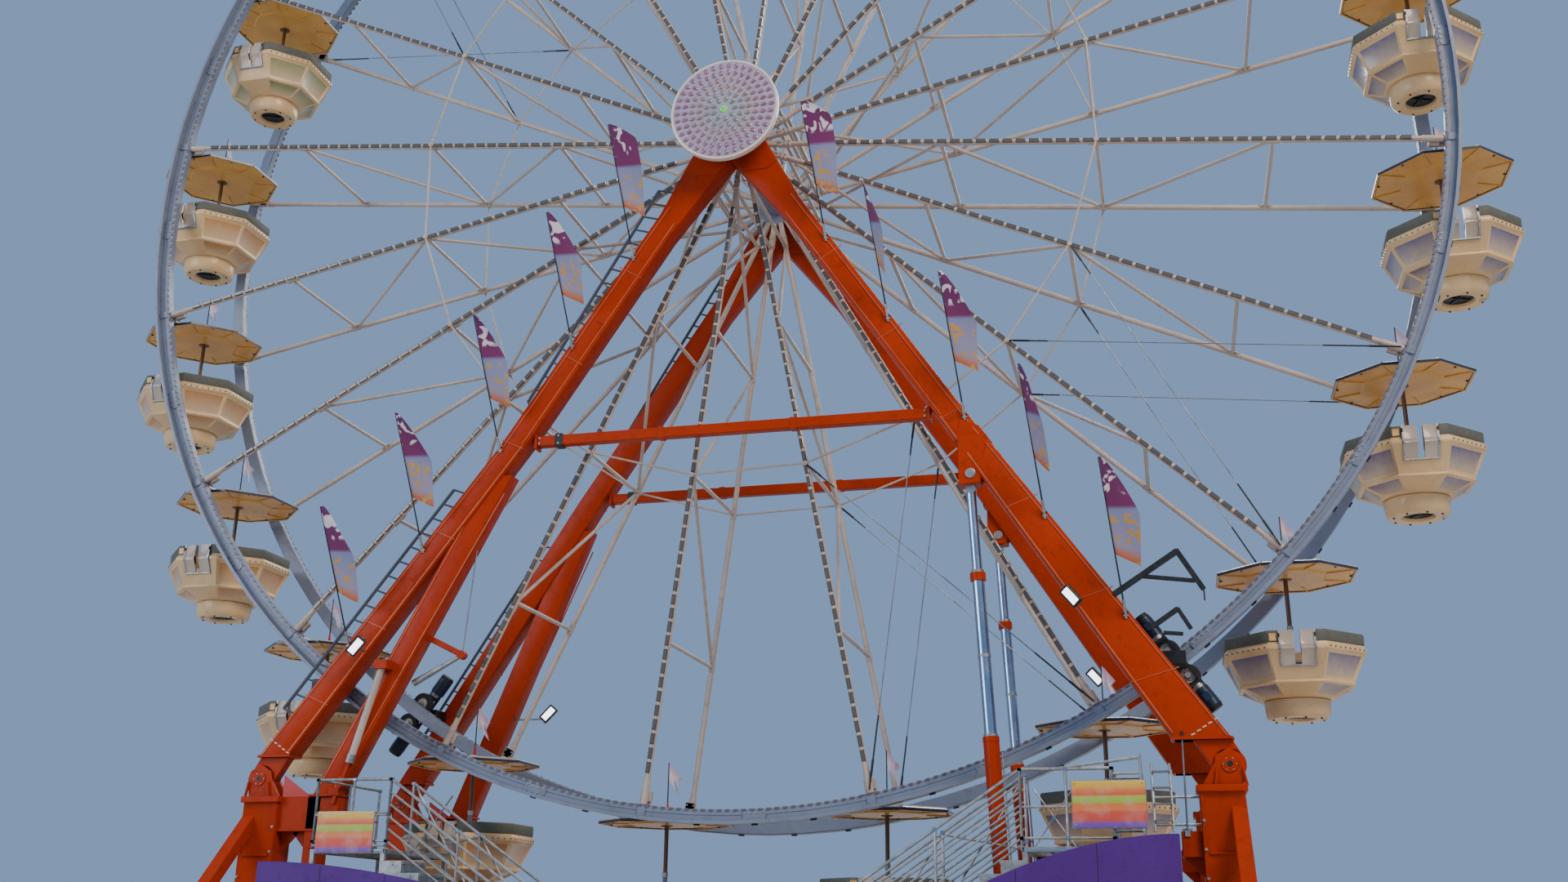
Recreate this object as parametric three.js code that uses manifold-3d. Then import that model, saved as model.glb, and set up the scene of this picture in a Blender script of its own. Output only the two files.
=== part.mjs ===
// A portable ferris wheel with twenty open gondolas, at its real size.
// Millimetres, +Z up. The origin is on the ground under the middle of the wheel,
// X runs to the right along the wheel and Y away from the boarding side.

import * as THREE from 'three';
import { mergeVertices } from 'three/addons/utils/BufferGeometryUtils.js';
import Module from 'manifold-3d';

const wasm = await Module();
wasm.setup();

// Driving dimensions
const bays = 20;
const hubZ = 15900;
const rimRadius = 12500;
const firstSpokeDeg = 173.1;
const planeY = 1300;
const touch = 0.3;

// Wheel
const rim = { height: 240, width: 160, facets: 40 };
const driveRail = { thick: 24, reach: 130 };
const chordSize = 100;
const webSize = 76;
const strutRadii = [9625, 6625, 3813];
const innerRingRadius = 6625;
const ringBarSize = 60;
const cableSize = 26;
const hub = { drum: 250, plate: 430, flange: 780, flangeThick: 110, arm: 100, shaft: 170, spacer: 240, rearEnd: 2310 };
const axle = { radius: 50, sides: 6, running: 0.9, plateFrom: 12130, plateIn: 1168, plateWide: 190 };
const cabledBays = [6, 8, 16, 18];
const spokeInnerEnd = 980;

// Gondola, heights measured from its axle
const gondola = {
  roofHalf: 1100, roofEdge: -120, roofLip: -75, roofTop: 40, peak: 90,
  railHalf: 1030, railTop: -1170, beltHalf: 1090, belt: -1430,
  waistHalf: 860, waist: -1960, drumTop: 545, keel: -2130, drumHalf: 505, bottom: -2440,
  wall: 50, floorHalf: 560, floor: -2080, pole: 40,
  staffTop: 960, staffSize: 30, flagLong: 620, flagWide: 300,
};

// Support frames, drawn for the right front and mirrored
const leg = {
  kneeZ: 9850, footZ: 4360, headY: 1900, footY: 2450, depth: 400,
  upper: [[0, 16300], [300, 16150], [1330, 14180], [4220, 9850], [3710, 9850], [1140, 13720], [0, 15150]],
  kneeOut: 4220, kneeIn: 3710, footOut: 8000, rightFootIn: 7170, leftFootIn: 7440,
};
const headPlate = {
  thick: 60,
  outline: [[0, 16280], [290, 16135], [880, 15005], [700, 14870], [240, 14870], [0, 15170]],
};
const pin = { x: 7930, z: 4000, radius: 75, eye: 240, lug: 180, ear: 60 };
const fork = { topX: 4150, topZ: 9300, footX: 6640, halfWidth: 230, depth: 340 };
const tie = { z: 9950, height: 190, depth: 170 };
const lightDisc = { radius: 1020, thick: 120, y: 2560 };
const drive = {
  angleDeg: -54.5, gap: 6, tyre: 205, tyreWide: 140, y: 1475, plateY: 1700, motor: 130, motorLong: 470,
  arm: { toLeg: 330, out: 130, halfTall: 110, inLeg: 40 },
};
const banner = {
  feet: [13300, 11650, 9750, 7930, 6240], inset: 110, lean: [-0.1, -0.4, 0.91],
  pole: 28, tall: 2500, from: 1050, wide: 440, tip: 50, thick: 14,
};

// Base
const tower = { x: 7790, width: 640, depth: 520, top: 3700, jackTop: 250 };
const innerPost = {
  x: 6830, width: 260, depth: 340, headerBottom: 3150, headerTop: 3690, headerFrom: 6380,
};
const stub = { from: 7180, bottom: 2690, top: 3060, depth: 300 };
const outrigger = { x: 8010, topZ: 3480, footY: 5450, size: 220, beam: 180 };
const chassis = { top: 640, bottom: 300, beam: 300, crossX: [-4610, 0, 4610] };
const foot = { size: 620, thick: 60, jack: 110 };
const cylinder = {
  topX: 4230, topZ: 8600, footX: 4610, footZ: 675, y: 2025, lugWide: 360, lugDeep: 330, lugTop: 9450,
  barrel: 130, barrelTop: 3860, middle: 105, collar: 127, collarFrom: 6340, collarTo: 6470, rod: 85,
};
const deck = { top: 1150, thick: 70, inner: 1190, outer: 3500, half: 2500, post: 80, postX: [800, 2460] };
const landing = { top: 2800, from: 4980, to: 6300, inner: 1300 };
const stairs = {
  inner: 2700, treads: 8, under: 160, lap: 30, frontHalf: 1400, frontTreads: 5, frontRun: 1500,
};
const rearDeck = { outer: 2660, stairEnd: 3900, stairInner: 1900, stairOuter: 2320, treads: 5 };
const handrail = { height: 1100, size: 46, sunk: 60, underTop: 10 };
const fairing = {
  thick: 40, y: 3560, bottom: 120, from: 2600, to: 7150, steps: 6,
  left: { low: 1930, high: 2600 }, right: { low: 1350, high: 2960 },
};

// Shape helpers: every helper gives a closed solid that can be joined or cut

function solidOf(geometry) {
  geometry.deleteAttribute('normal');
  geometry.deleteAttribute('uv');
  const merged = mergeVertices(geometry, 0.01);
  const corners = merged.index.array;
  const kept = [];
  for (let i = 0; i < corners.length; i += 3) {
    const [a, b, c] = [corners[i], corners[i + 1], corners[i + 2]];
    if (a !== b && b !== c && c !== a) kept.push(a, b, c);
  }
  const mesh = new wasm.Mesh({
    numProp: 3,
    vertProperties: new Float32Array(merged.attributes.position.array),
    triVerts: new Uint32Array(kept),
  });
  return new wasm.Manifold(mesh);
}

function geometryOf(solid) {
  const mesh = solid.getMesh();
  const geometry = new THREE.BufferGeometry();
  geometry.setAttribute('position', new THREE.BufferAttribute(new Float32Array(mesh.vertProperties), 3));
  geometry.setIndex(new THREE.BufferAttribute(new Uint32Array(mesh.triVerts), 1));
  geometry.computeVertexNormals();
  return geometry;
}

function join(solids) {
  return solids.reduce((whole, next) => whole.add(next));
}

function boxBetween(low, high) {
  const geometry = new THREE.BoxGeometry(high[0] - low[0], high[1] - low[1], high[2] - low[2]);
  geometry.translate((low[0] + high[0]) / 2, (low[1] + high[1]) / 2, (low[2] + high[2]) / 2);
  return solidOf(geometry);
}

// A bar from one point to another; a square one keeps one pair of faces as level as it can
function barGeometry(from, to, shape) {
  const start = new THREE.Vector3(...from);
  const end = new THREE.Vector3(...to);
  const along = end.clone().sub(start);
  const length = along.length();
  const geometry = shape(length);
  const direction = along.normalize();
  const side = new THREE.Vector3(0, 1, 0);
  if (Math.abs(direction.y) > 0.9) side.set(0, 0, 1);
  const across = new THREE.Vector3().crossVectors(direction, side).normalize();
  const depth = new THREE.Vector3().crossVectors(across, direction);
  geometry.applyMatrix4(new THREE.Matrix4().makeBasis(across, direction, depth));
  geometry.translate((from[0] + to[0]) / 2, (from[1] + to[1]) / 2, (from[2] + to[2]) / 2);
  return geometry;
}

function boxBar(from, to, width, depth) {
  return solidOf(barGeometry(from, to, (length) => new THREE.BoxGeometry(width, length, depth)));
}

function roundBar(from, to, radius, sides = 8, endRadius = radius) {
  const shape = (length) => new THREE.CylinderGeometry(endRadius, radius, length, sides);
  return solidOf(barGeometry(from, to, shape));
}

// A plate cut from an outline of [x, z] points, between two depths along Y
function plate(outline, nearY, farY) {
  const shape = new THREE.Shape(outline.map(([x, z]) => new THREE.Vector2(x, z)));
  const geometry = new THREE.ExtrudeGeometry(shape, { depth: farY - nearY, bevelEnabled: false });
  geometry.rotateX(Math.PI / 2);
  geometry.translate(0, farY, 0);
  return solidOf(geometry);
}

function discOutline(x, z, radius, sides) {
  return Array.from({ length: sides }, (_, i) => {
    const angle = (2 * Math.PI * (i + 0.5)) / sides;
    return [x + radius * Math.cos(angle), z + radius * Math.sin(angle)];
  });
}

// A ring about the wheel's axle: closed profile of [radius, y] points
function wheelRing(profile, facets) {
  const points = profile.map(([radius, y]) => new THREE.Vector2(radius, y));
  points.push(points[0].clone());
  const geometry = new THREE.LatheGeometry(points, facets, THREE.MathUtils.degToRad(90 - firstSpokeDeg));
  geometry.translate(0, 0, hubZ);
  return solidOf(geometry);
}

function mirrored(solid, axis) {
  const geometry = geometryOf(solid);
  geometry.scale(axis === 'x' ? -1 : 1, axis === 'y' ? -1 : 1, 1);
  const index = geometry.index.array;
  for (let i = 0; i < index.length; i += 3) [index[i], index[i + 1]] = [index[i + 1], index[i]];
  return solidOf(geometry);
}

// Leans a solid outwards in Y below the knee, as the feet of the frames stand wider than the head
function leanBelowKnee(solid) {
  const geometry = geometryOf(solid);
  const position = geometry.attributes.position;
  const slope = (leg.footY - leg.headY) / (leg.kneeZ - leg.footZ);
  for (let i = 0; i < position.count; i += 1) {
    const drop = Math.max(0, leg.kneeZ - position.getZ(i));
    position.setY(i, position.getY(i) - drop * slope);
  }
  return solidOf(geometry);
}

function legY(z) {
  return -leg.headY - (Math.max(0, leg.kneeZ - z) * (leg.footY - leg.headY)) / (leg.kneeZ - leg.footZ);
}

const model = new THREE.Group();

const paints = {
  orange: { color: '#c43c08', roughness: 0.4, metalness: 0.1 },
  lilacGrey: { color: '#a9a3ad', roughness: 0.45, metalness: 0.3 },
  white: { color: '#d8d0c4', roughness: 0.5, metalness: 0.1 },
  steel: { color: '#8d9196', roughness: 0.35, metalness: 0.8 },
  cream: { color: '#d9bd92', roughness: 0.4, metalness: 0 },
  galvanised: { color: '#9a9c9c', roughness: 0.5, metalness: 0.7 },
  lamp: { color: '#cfc6d4', roughness: 0.5, metalness: 0 },
};

function addPart(name, solid, paint) {
  const mesh = new THREE.Mesh(geometryOf(solid), new THREE.MeshStandardMaterial(paints[paint]));
  mesh.name = name;
  model.add(mesh);
  return mesh;
}

function number(index) {
  return String(index + 1).padStart(2, '0');
}

function spokeAngle(index) {
  return THREE.MathUtils.degToRad(firstSpokeDeg + (360 / bays) * index);
}

function onSpoke(index, radius, y) {
  const angle = spokeAngle(index);
  return [radius * Math.cos(angle), y, hubZ + radius * Math.sin(angle)];
}

// The two openings beside a diagonal that runs down from the far side to the near side of a panel
function panelHoles(low, high, half, flip) {
  const slope = (2 * half) / (high - low);
  const offset = (webSize / 2) * Math.hypot(1, slope);
  const nearHub = [[low, -half], [high - offset / slope, -half], [low, half - offset]];
  const nearRim = [[high, half], [low + offset / slope, half], [high, -half + offset]];
  return [nearHub, nearRim].map((hole) => hole.map(([radius, y]) => [radius, flip * y]));
}

function prismGeometry(outline, height) {
  const shape = new THREE.Shape(outline.map(([x, y]) => new THREE.Vector2(x, y)));
  const geometry = new THREE.ExtrudeGeometry(shape, { depth: height, bevelEnabled: false });
  geometry.translate(0, 0, -height / 2);
  return geometry;
}

// One spoke, laid out along +X at the hub's height: a flat lattice in the plane through the axle,
// with a plate at each end of its outer bay that holds a gondola's axle
function makeSpoke() {
  const inner = hub.flange + touch;
  const outer = rimRadius - rim.height / 2 - 4 - touch;
  const [near, far] = [planeY - chordSize / 2, planeY + chordSize / 2];
  const web = webSize / 2;
  const [first, second, third] = strutRadii;
  const [[, openCorner], lastHole] = panelHoles(spokeInnerEnd, third - web, near, 1);
  const past = 10;
  const diagonalEnd = 2 * spokeInnerEnd - lastHole[1][0];
  const openings = [
    [[first + web, -near], [outer + past, -near], [outer + past, near], [first + web, near]],
    ...panelHoles(second + web, first - web, near, 1),
    ...panelHoles(third + web, second - web, near, -1),
    lastHole,
    [[inner - past, -near], openCorner, [diagonalEnd, near], [inner - past, near]],
  ];
  const deep = chordSize / 2;
  let spoke = boxBetween([inner, -far, -deep], [outer, far, deep]);
  for (const opening of openings) {
    spoke = spoke.subtract(solidOf(prismGeometry(opening, chordSize + 2 * past)));
  }
  const plateOut = planeY - rim.width / 2 - touch;
  const half = axle.plateWide / 2;
  for (const side of [-1, 1]) {
    const [plateLow, plateHigh] = [axle.plateIn, plateOut].map((y) => side * y).sort((a, b) => a - b);
    const [blockLow, blockHigh] = [axle.plateIn, near + 20].map((y) => side * y).sort((a, b) => a - b);
    spoke = spoke.add(boxBetween([axle.plateFrom, plateLow, -half], [rimRadius + half, plateHigh, half]));
    spoke = spoke.add(boxBetween([axle.plateFrom, blockLow, -half], [outer - 60, blockHigh, half]));
  }
  const bore = (axle.radius + axle.running) / Math.cos(Math.PI / axle.sides);
  const boreEnd = plateOut + past;
  return spoke.subtract(roundBar([rimRadius, -boreEnd, 0], [rimRadius, boreEnd, 0], bore, axle.sides));
}

// One gondola about its axle: tub, pole, roof, axle tube and a staff with a pennant, in eight flats
function makeGondola() {
  const g = gondola;
  const corner = 1 / Math.cos(Math.PI / 8);
  const profile = [
    [0, g.bottom], [g.drumHalf, g.bottom], [g.drumTop, g.keel], [g.waistHalf, g.waist],
    [g.beltHalf, g.belt], [g.railHalf, g.railTop],
    [g.railHalf - g.wall, g.railTop], [g.waistHalf - g.wall, g.waist + g.wall / 2], [g.floorHalf, g.floor],
    [g.pole, g.floor], [g.pole, g.roofEdge],
    [g.roofHalf - 20, g.roofEdge], [g.roofHalf, g.roofLip], [g.peak, g.roofTop], [0, g.roofTop],
  ].map(([radius, z]) => new THREE.Vector2(radius * corner, z));
  const lathe = new THREE.LatheGeometry(profile, 8, Math.PI / 8);
  lathe.rotateX(Math.PI / 2);
  const tubeEnd = planeY - rim.width / 2 - touch;
  const size = g.staffSize / 2;
  const staff = [[-size, 0], [size, 0], [size, g.staffTop - g.flagLong],
    [g.flagWide, g.staffTop - g.flagLong * 0.7], [size, g.staffTop], [-size, g.staffTop]];
  return join([
    solidOf(lathe),
    roundBar([0, -tubeEnd, 0], [0, tubeEnd, 0], axle.radius, axle.sides),
    plate(staff, -size, size),
  ]);
}

function makeHub() {
  const end = planeY + hub.flangeThick / 2;
  const start = planeY - hub.flangeThick / 2;
  const discBack = lightDisc.y - lightDisc.thick / 2 - touch;
  const headFace = leg.headY - leg.depth / 2 - touch;
  const arms = [];
  for (let index = 0; index < bays; index += 1) {
    for (const y of [-planeY, planeY]) {
      arms.push(boxBar(onSpoke(index, hub.drum, y), onSpoke(index, hub.flange, y), hub.arm, hub.arm));
    }
  }
  return join([
    wheelRing([[0, -end], [hub.plate, -end], [hub.plate, -start], [hub.drum, -start],
      [hub.drum, start], [hub.plate, start], [hub.plate, end], [0, end]], bays),
    ...arms,
    roundBar([0, -headFace, hubZ], [0, headFace, hubZ], hub.spacer, 12),
    roundBar([0, -discBack, hubZ], [0, hub.rearEnd, hubZ], hub.shaft, 12),
  ]);
}

// A rim with the rail that the drive tyres grip, a flange on its outer edge
function makeRim(side) {
  const low = rimRadius - rim.height / 2;
  const high = rimRadius + rim.height / 2;
  const face = planeY + rim.width / 2;
  const inside = planeY - rim.width / 2;
  const rail = face + driveRail.reach;
  const under = high - driveRail.thick;
  const profile = [[low, inside], [high, inside], [high, rail], [under, rail], [under, face], [low, face]];
  const solid = wheelRing(profile, rim.facets);
  return side < 0 ? mirrored(solid, 'y') : solid;
}

// Bars between the middle joints of all spokes, with the taut cables that cross in four bays
function makeInnerRing(side) {
  const y = side * (planeY + chordSize / 2 + touch + ringBarSize / 2);
  const low = innerRingRadius - ringBarSize / 2;
  const high = innerRingRadius + ringBarSize / 2;
  const [near, far] = [y - ringBarSize / 2, y + ringBarSize / 2];
  const solids = [wheelRing([[low, near], [high, near], [high, far], [low, far]], bays)];
  const end = rimRadius - rim.height / 2 - 60;
  for (const bay of cabledBays) {
    solids.push(boxBar(onSpoke(bay, innerRingRadius, y), onSpoke(bay + 1, end, y), cableSize, cableSize));
    solids.push(boxBar(onSpoke(bay + 1, innerRingRadius, y), onSpoke(bay, end, y), cableSize, cableSize));
  }
  return join(solids);
}

function makeLightDisc() {
  const near = [0, -lightDisc.y - lightDisc.thick / 2, hubZ];
  const far = [0, -lightDisc.y + lightDisc.thick / 2, hubZ];
  return roundBar(near, far, lightDisc.radius, 32);
}

// Two tyres that grip the rim's rail from inside and outside, each with its motor, on one bracket
function driveUnit() {
  const angle = THREE.MathUtils.degToRad(drive.angleDeg);
  const at = (radius, y) => [radius * Math.cos(angle), -y, hubZ + radius * Math.sin(angle)];
  const railOut = rimRadius + rim.height / 2;
  const railIn = (railOut - driveRail.thick) * Math.cos(Math.PI / rim.facets);
  const middle = (railIn + railOut) / 2;
  const grip = (railOut - railIn) / 2 + drive.gap + drive.tyre;
  const [near, far] = [drive.y - drive.tyreWide / 2, drive.y + drive.tyreWide / 2];
  const solids = [boxBar(at(middle - 500, drive.plateY), at(middle + 500, drive.plateY), 240, 80)];
  for (const outward of [-1, 1]) {
    const radius = middle + outward * grip;
    const motorFrom = radius + outward * 200;
    const motorTo = motorFrom + outward * drive.motorLong;
    solids.push(roundBar(at(radius, near), at(radius, far), drive.tyre, 8));
    solids.push(boxBar(at(radius, far - 10), at(radius, drive.plateY), 110, 110));
    solids.push(roundBar(at(motorFrom, drive.plateY), at(motorTo, drive.plateY), drive.motor, 6));
  }
  const [x, , z] = at(middle, 0);
  const { toLeg, out, halfTall, inLeg } = drive.arm;
  const legFace = legY(z) + leg.depth / 2;
  solids.push(boxBetween(
    [x - toLeg, legFace - inLeg, z - halfTall],
    [x + out, -drive.plateY, z + halfTall],
  ));
  return join(solids);
}

// Distance of a leg's outer edge from the middle at a height below the head
function legOuter(z) {
  const [, , [headX, headZ], [kneeX, kneeZ]] = leg.upper;
  if (z > kneeZ) return headX + ((kneeX - headX) * (headZ - z)) / (headZ - kneeZ);
  return leg.kneeOut + ((leg.footOut - leg.kneeOut) * (kneeZ - z)) / (kneeZ - leg.footZ);
}

// A tall narrow banner on a pole that leans forward from the face of a front leg
function bannerOnPole(side, z) {
  const { lean } = banner;
  const x = side * (legOuter(z) - banner.inset);
  const y = legY(z) - leg.depth / 2 + banner.pole;
  const along = (t, across) => [x + lean[0] * t + across, y + lean[1] * t, z + lean[2] * t];
  const pole = boxBar(along(0, 0), along(banner.tall, 0), banner.pole, banner.pole);
  const half = (banner.tall - banner.from) / 2;
  const cloth = barGeometry(along(banner.from, 0), along(banner.tall, 0), () => {
    const outline = [[0, -half], [-banner.wide, -half], [-banner.tip, half], [0, half]];
    return prismGeometry(outline, banner.thick);
  });
  return pole.add(solidOf(cloth));
}

// The head, the leg down to its hinge eye and what is fixed on it, for the right front
function makeLeg(footIn, hasFork) {
  const half = leg.depth / 2;
  const lap = 40;
  const upper = leg.upper.map(([x, z]) => [Math.max(x, touch / 2), z]);
  const solids = [plate(upper, -leg.headY - half, -leg.headY + half)];
  const lower = [[leg.kneeOut - 20, leg.kneeZ + lap], [leg.footOut, leg.footZ], [footIn, leg.footZ],
    [leg.kneeIn + 20, leg.kneeZ + lap]];
  solids.push(leanBelowKnee(plate(lower, -leg.headY - half, -leg.headY + half)));
  const front = -leg.headY - half;
  const head = headPlate.outline.map(([x, z]) => [Math.max(x, touch / 2), z]);
  solids.push(plate(head, front - headPlate.thick, front + 10));
  const eyeY = legY(pin.z);
  const neck = [[pin.x - 520, leg.footZ + 60], [pin.x + 30, leg.footZ + 60], [pin.x + 210, pin.z + 100],
    [pin.x - 200, pin.z - 100]];
  const lug = [plate(neck, eyeY - pin.lug / 2, eyeY + pin.lug / 2),
    plate(discOutline(pin.x, pin.z, pin.eye, 8), eyeY - pin.lug / 2, eyeY + pin.lug / 2)];
  solids.push(...lug);
  if (hasFork) {
    const foot = innerPost.headerTop + touch;
    const outline = [[fork.topX - fork.halfWidth, fork.topZ], [fork.topX + fork.halfWidth, fork.topZ],
      [fork.footX + fork.halfWidth, foot], [fork.footX - fork.halfWidth, foot]];
    solids.push(leanBelowKnee(plate(outline, -leg.headY - fork.depth / 2, -leg.headY + fork.depth / 2)));
  } else {
    const c = cylinder;
    const tilt = (c.footX - c.topX) / (c.topZ - c.footZ);
    const under = (x) => c.topZ + tilt * (x - c.topX) + touch;
    const [x0, x1] = [c.topX - c.lugWide / 2, c.topX + c.lugWide / 2];
    solids.push(plate([[x0, under(x0)], [x1, under(x1)], [x1 + 120, c.lugTop], [x0, c.lugTop]],
      -c.y - c.lugDeep / 2, -c.y + c.lugDeep / 2));
  }
  solids.push(driveUnit());
  const shaftHole = hub.shaft / Math.cos(Math.PI / 24) + 0.6;
  const eyeHole = pin.radius + 0.6;
  return join(solids)
    .subtract(roundBar([0, -leg.headY - 400, hubZ], [0, -leg.headY + 400, hubZ], shaftHole, 24))
    .subtract(roundBar([pin.x, eyeY - 200, pin.z], [pin.x, eyeY + 200, pin.z], eyeHole, 8));
}

function makeTie() {
  const legWidth = (leg.kneeIn - leg.upper[5][0]) / (leg.upper[5][1] - leg.kneeZ);
  const half = leg.kneeIn - legWidth * (tie.z + tie.height / 2 - leg.kneeZ) - touch;
  return boxBetween([-half, -leg.headY - tie.depth / 2, tie.z - tie.height / 2],
    [half, -leg.headY + tie.depth / 2, tie.z + tie.height / 2]);
}

// A telescopic cylinder that raised the frame, with a thick barrel and two thinner stages
function makeCylinder() {
  const c = cylinder;
  const rise = Math.hypot(c.topX - c.footX, c.topZ - c.footZ);
  const profile = [[0, 0], [c.barrel, 0], [c.barrel, c.barrelTop], [c.middle, c.barrelTop],
    [c.middle, c.collarFrom], [c.collar, c.collarFrom], [c.collar, c.collarTo], [c.rod, c.collarTo],
    [c.rod, rise], [0, rise]];
  const geometry = new THREE.LatheGeometry(profile.map(([radius, y]) => new THREE.Vector2(radius, y)), 10);
  geometry.rotateX(Math.PI / 2);
  geometry.rotateY(Math.atan2(c.topX - c.footX, c.topZ - c.footZ));
  geometry.translate(c.footX, -c.y, c.footZ);
  const seat = boxBetween([c.footX - 150, -c.y - 150, chassis.top + touch],
    [c.footX + 150, -c.y + 150, c.footZ + 60]);
  return join([solidOf(geometry), seat]);
}

function jackAndPad(x, y, top) {
  const half = foot.size / 2;
  return boxBetween([x - half, y - half, 0], [x + half, y + half, foot.thick])
    .add(boxBetween([x - foot.jack, y - foot.jack, foot.thick - 10], [x + foot.jack, y + foot.jack, top]));
}

// The front half of one end of the base: post with hinge ears, outrigger and foot, on the right
function makeTowerHalf(hasInnerPost) {
  const towerY = legY(pin.z);
  const halfWide = tower.width / 2;
  const halfDeep = tower.depth / 2;
  const solids = [boxBetween([tower.x - halfWide, towerY - halfDeep, tower.jackTop],
    [tower.x + halfWide, towerY + halfDeep, tower.top])];
  solids.push(jackAndPad(tower.x, towerY, tower.jackTop + 10));
  for (const side of [-1, 1]) {
    const near = towerY + side * (pin.lug / 2 + touch);
    const far = near + side * pin.ear;
    const [low, high] = [Math.min(near, far), Math.max(near, far)];
    solids.push(plate(discOutline(pin.x, pin.z, pin.eye, 8), low, high));
    solids.push(plate([[pin.x - 420, tower.top - 20], [pin.x + 170, tower.top - 20], [pin.x + 225, pin.z],
      [pin.x - 225, pin.z]], low, high));
  }
  const pinHalf = pin.lug / 2 + pin.ear + 40;
  solids.push(roundBar([pin.x, towerY - pinHalf, pin.z], [pin.x, towerY + pinHalf, pin.z], pin.radius, 8));
  const footY = -outrigger.footY;
  const o = outrigger;
  const beamZ = tower.jackTop + o.beam / 2;
  solids.push(boxBar([o.x, towerY, o.topZ], [o.x, footY, tower.jackTop], o.size, o.size));
  solids.push(boxBar([o.x, towerY, beamZ], [o.x, footY, beamZ], o.beam, o.beam));
  solids.push(jackAndPad(outrigger.x, footY, tower.jackTop + 60));
  if (hasInnerPost) {
    const p = innerPost;
    solids.push(boxBetween([p.x - p.width / 2, towerY - p.depth / 2, chassis.top + touch],
      [p.x + p.width / 2, towerY + p.depth / 2, p.headerTop]));
    solids.push(boxBetween([p.headerFrom, towerY - p.depth / 2, p.headerBottom],
      [tower.x, towerY + p.depth / 2, p.headerTop]));
  } else {
    solids.push(boxBetween([stub.from, towerY - stub.depth / 2, stub.bottom],
      [tower.x, towerY + stub.depth / 2, stub.top]));
  }
  solids.push(boxBetween([tower.x - 150, towerY, chassis.bottom], [tower.x + 150, 20, chassis.top]));
  return join(solids);
}

function makeChassis() {
  const towerY = -legY(pin.z);
  const end = tower.x - tower.width / 2 - touch;
  const half = chassis.beam / 2;
  const solids = [];
  for (const y of [-towerY, towerY]) {
    solids.push(boxBetween([-end, y - half, chassis.bottom], [end, y + half, chassis.top]));
    for (const x of chassis.crossX) solids.push(jackAndPad(x, y, chassis.bottom + 10));
  }
  for (const x of chassis.crossX) {
    solids.push(boxBetween([x - half, -towerY, chassis.bottom], [x + half, towerY, chassis.top]));
  }
  return join(solids);
}

// Posts and a top rail from one floor point to another
function railing(from, to, gaps) {
  const size = handrail.size;
  const raised = ([x, y, z]) => [x, y, z + handrail.height - size / 2];
  const solids = [boxBar(raised(from), raised(to), size, size)];
  for (let i = 0; i <= gaps; i += 1) {
    const [x, y, z] = from.map((value, axis) => value + ((to[axis] - value) * i) / gaps);
    solids.push(boxBetween(
      [x - size / 2, y - size / 2, z - handrail.sunk],
      [x + size / 2, y + size / 2, z + handrail.height - handrail.underTop],
    ));
  }
  return join(solids);
}

// Outline of a flight of steps as [distance, height] points, from a low floor up to a high one
function flightOutline([startAt, startZ], [endAt, endZ], treads) {
  const run = (endAt - startAt) / treads;
  const rise = (endZ - startZ) / (treads + 1);
  const lap = Math.sign(run) * stairs.lap;
  const foot = Math.max(startZ - stairs.under, 0);
  const points = [[startAt - lap, foot], [startAt - lap, startZ + rise]];
  for (let i = 1; i < treads; i += 1) {
    points.push([startAt + run * i, startZ + rise * i], [startAt + run * i, startZ + rise * (i + 1)]);
  }
  points.push([endAt, endZ - rise], [endAt, endZ - 5], [endAt + lap, endZ - 5]);
  points.push([endAt + lap, endZ - rise - stairs.under], [startAt + run * 0.6, foot]);
  return points;
}

// Turns a solid drawn along X so that it runs along Y
function alongY(solid) {
  const geometry = geometryOf(solid);
  geometry.rotateZ(Math.PI / 2);
  return solidOf(geometry);
}

// A floor slab on rows of posts, each row at one Y with its feet at one height
function slabOnPosts([x0, y0], [x1, y1], top, postX, rows) {
  const half = deck.post / 2;
  const solids = [boxBetween([x0, y0, top - deck.thick], [x1, y1, top])];
  for (const x of postX) {
    for (const [y, footZ] of rows) {
      solids.push(boxBetween([x - half, y - half, footZ], [x + half, y + half, top - 10]));
    }
  }
  return join(solids);
}

function fairingPlate(side) {
  const f = fairing;
  const { low, high } = side < 0 ? f.left : f.right;
  const arc = Array.from({ length: f.steps + 1 }, (_, i) => {
    const part = i / f.steps;
    return [f.from + (f.to - f.from) * part, low + (high - low) * Math.sin((part * Math.PI) / 2)];
  });
  const outline = [...arc, [f.to, f.bottom], [f.from, f.bottom]].map(([x, z]) => [side * x, z]);
  return plate(outline, -f.y - f.thick, -deck.outer + 10);
}

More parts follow.
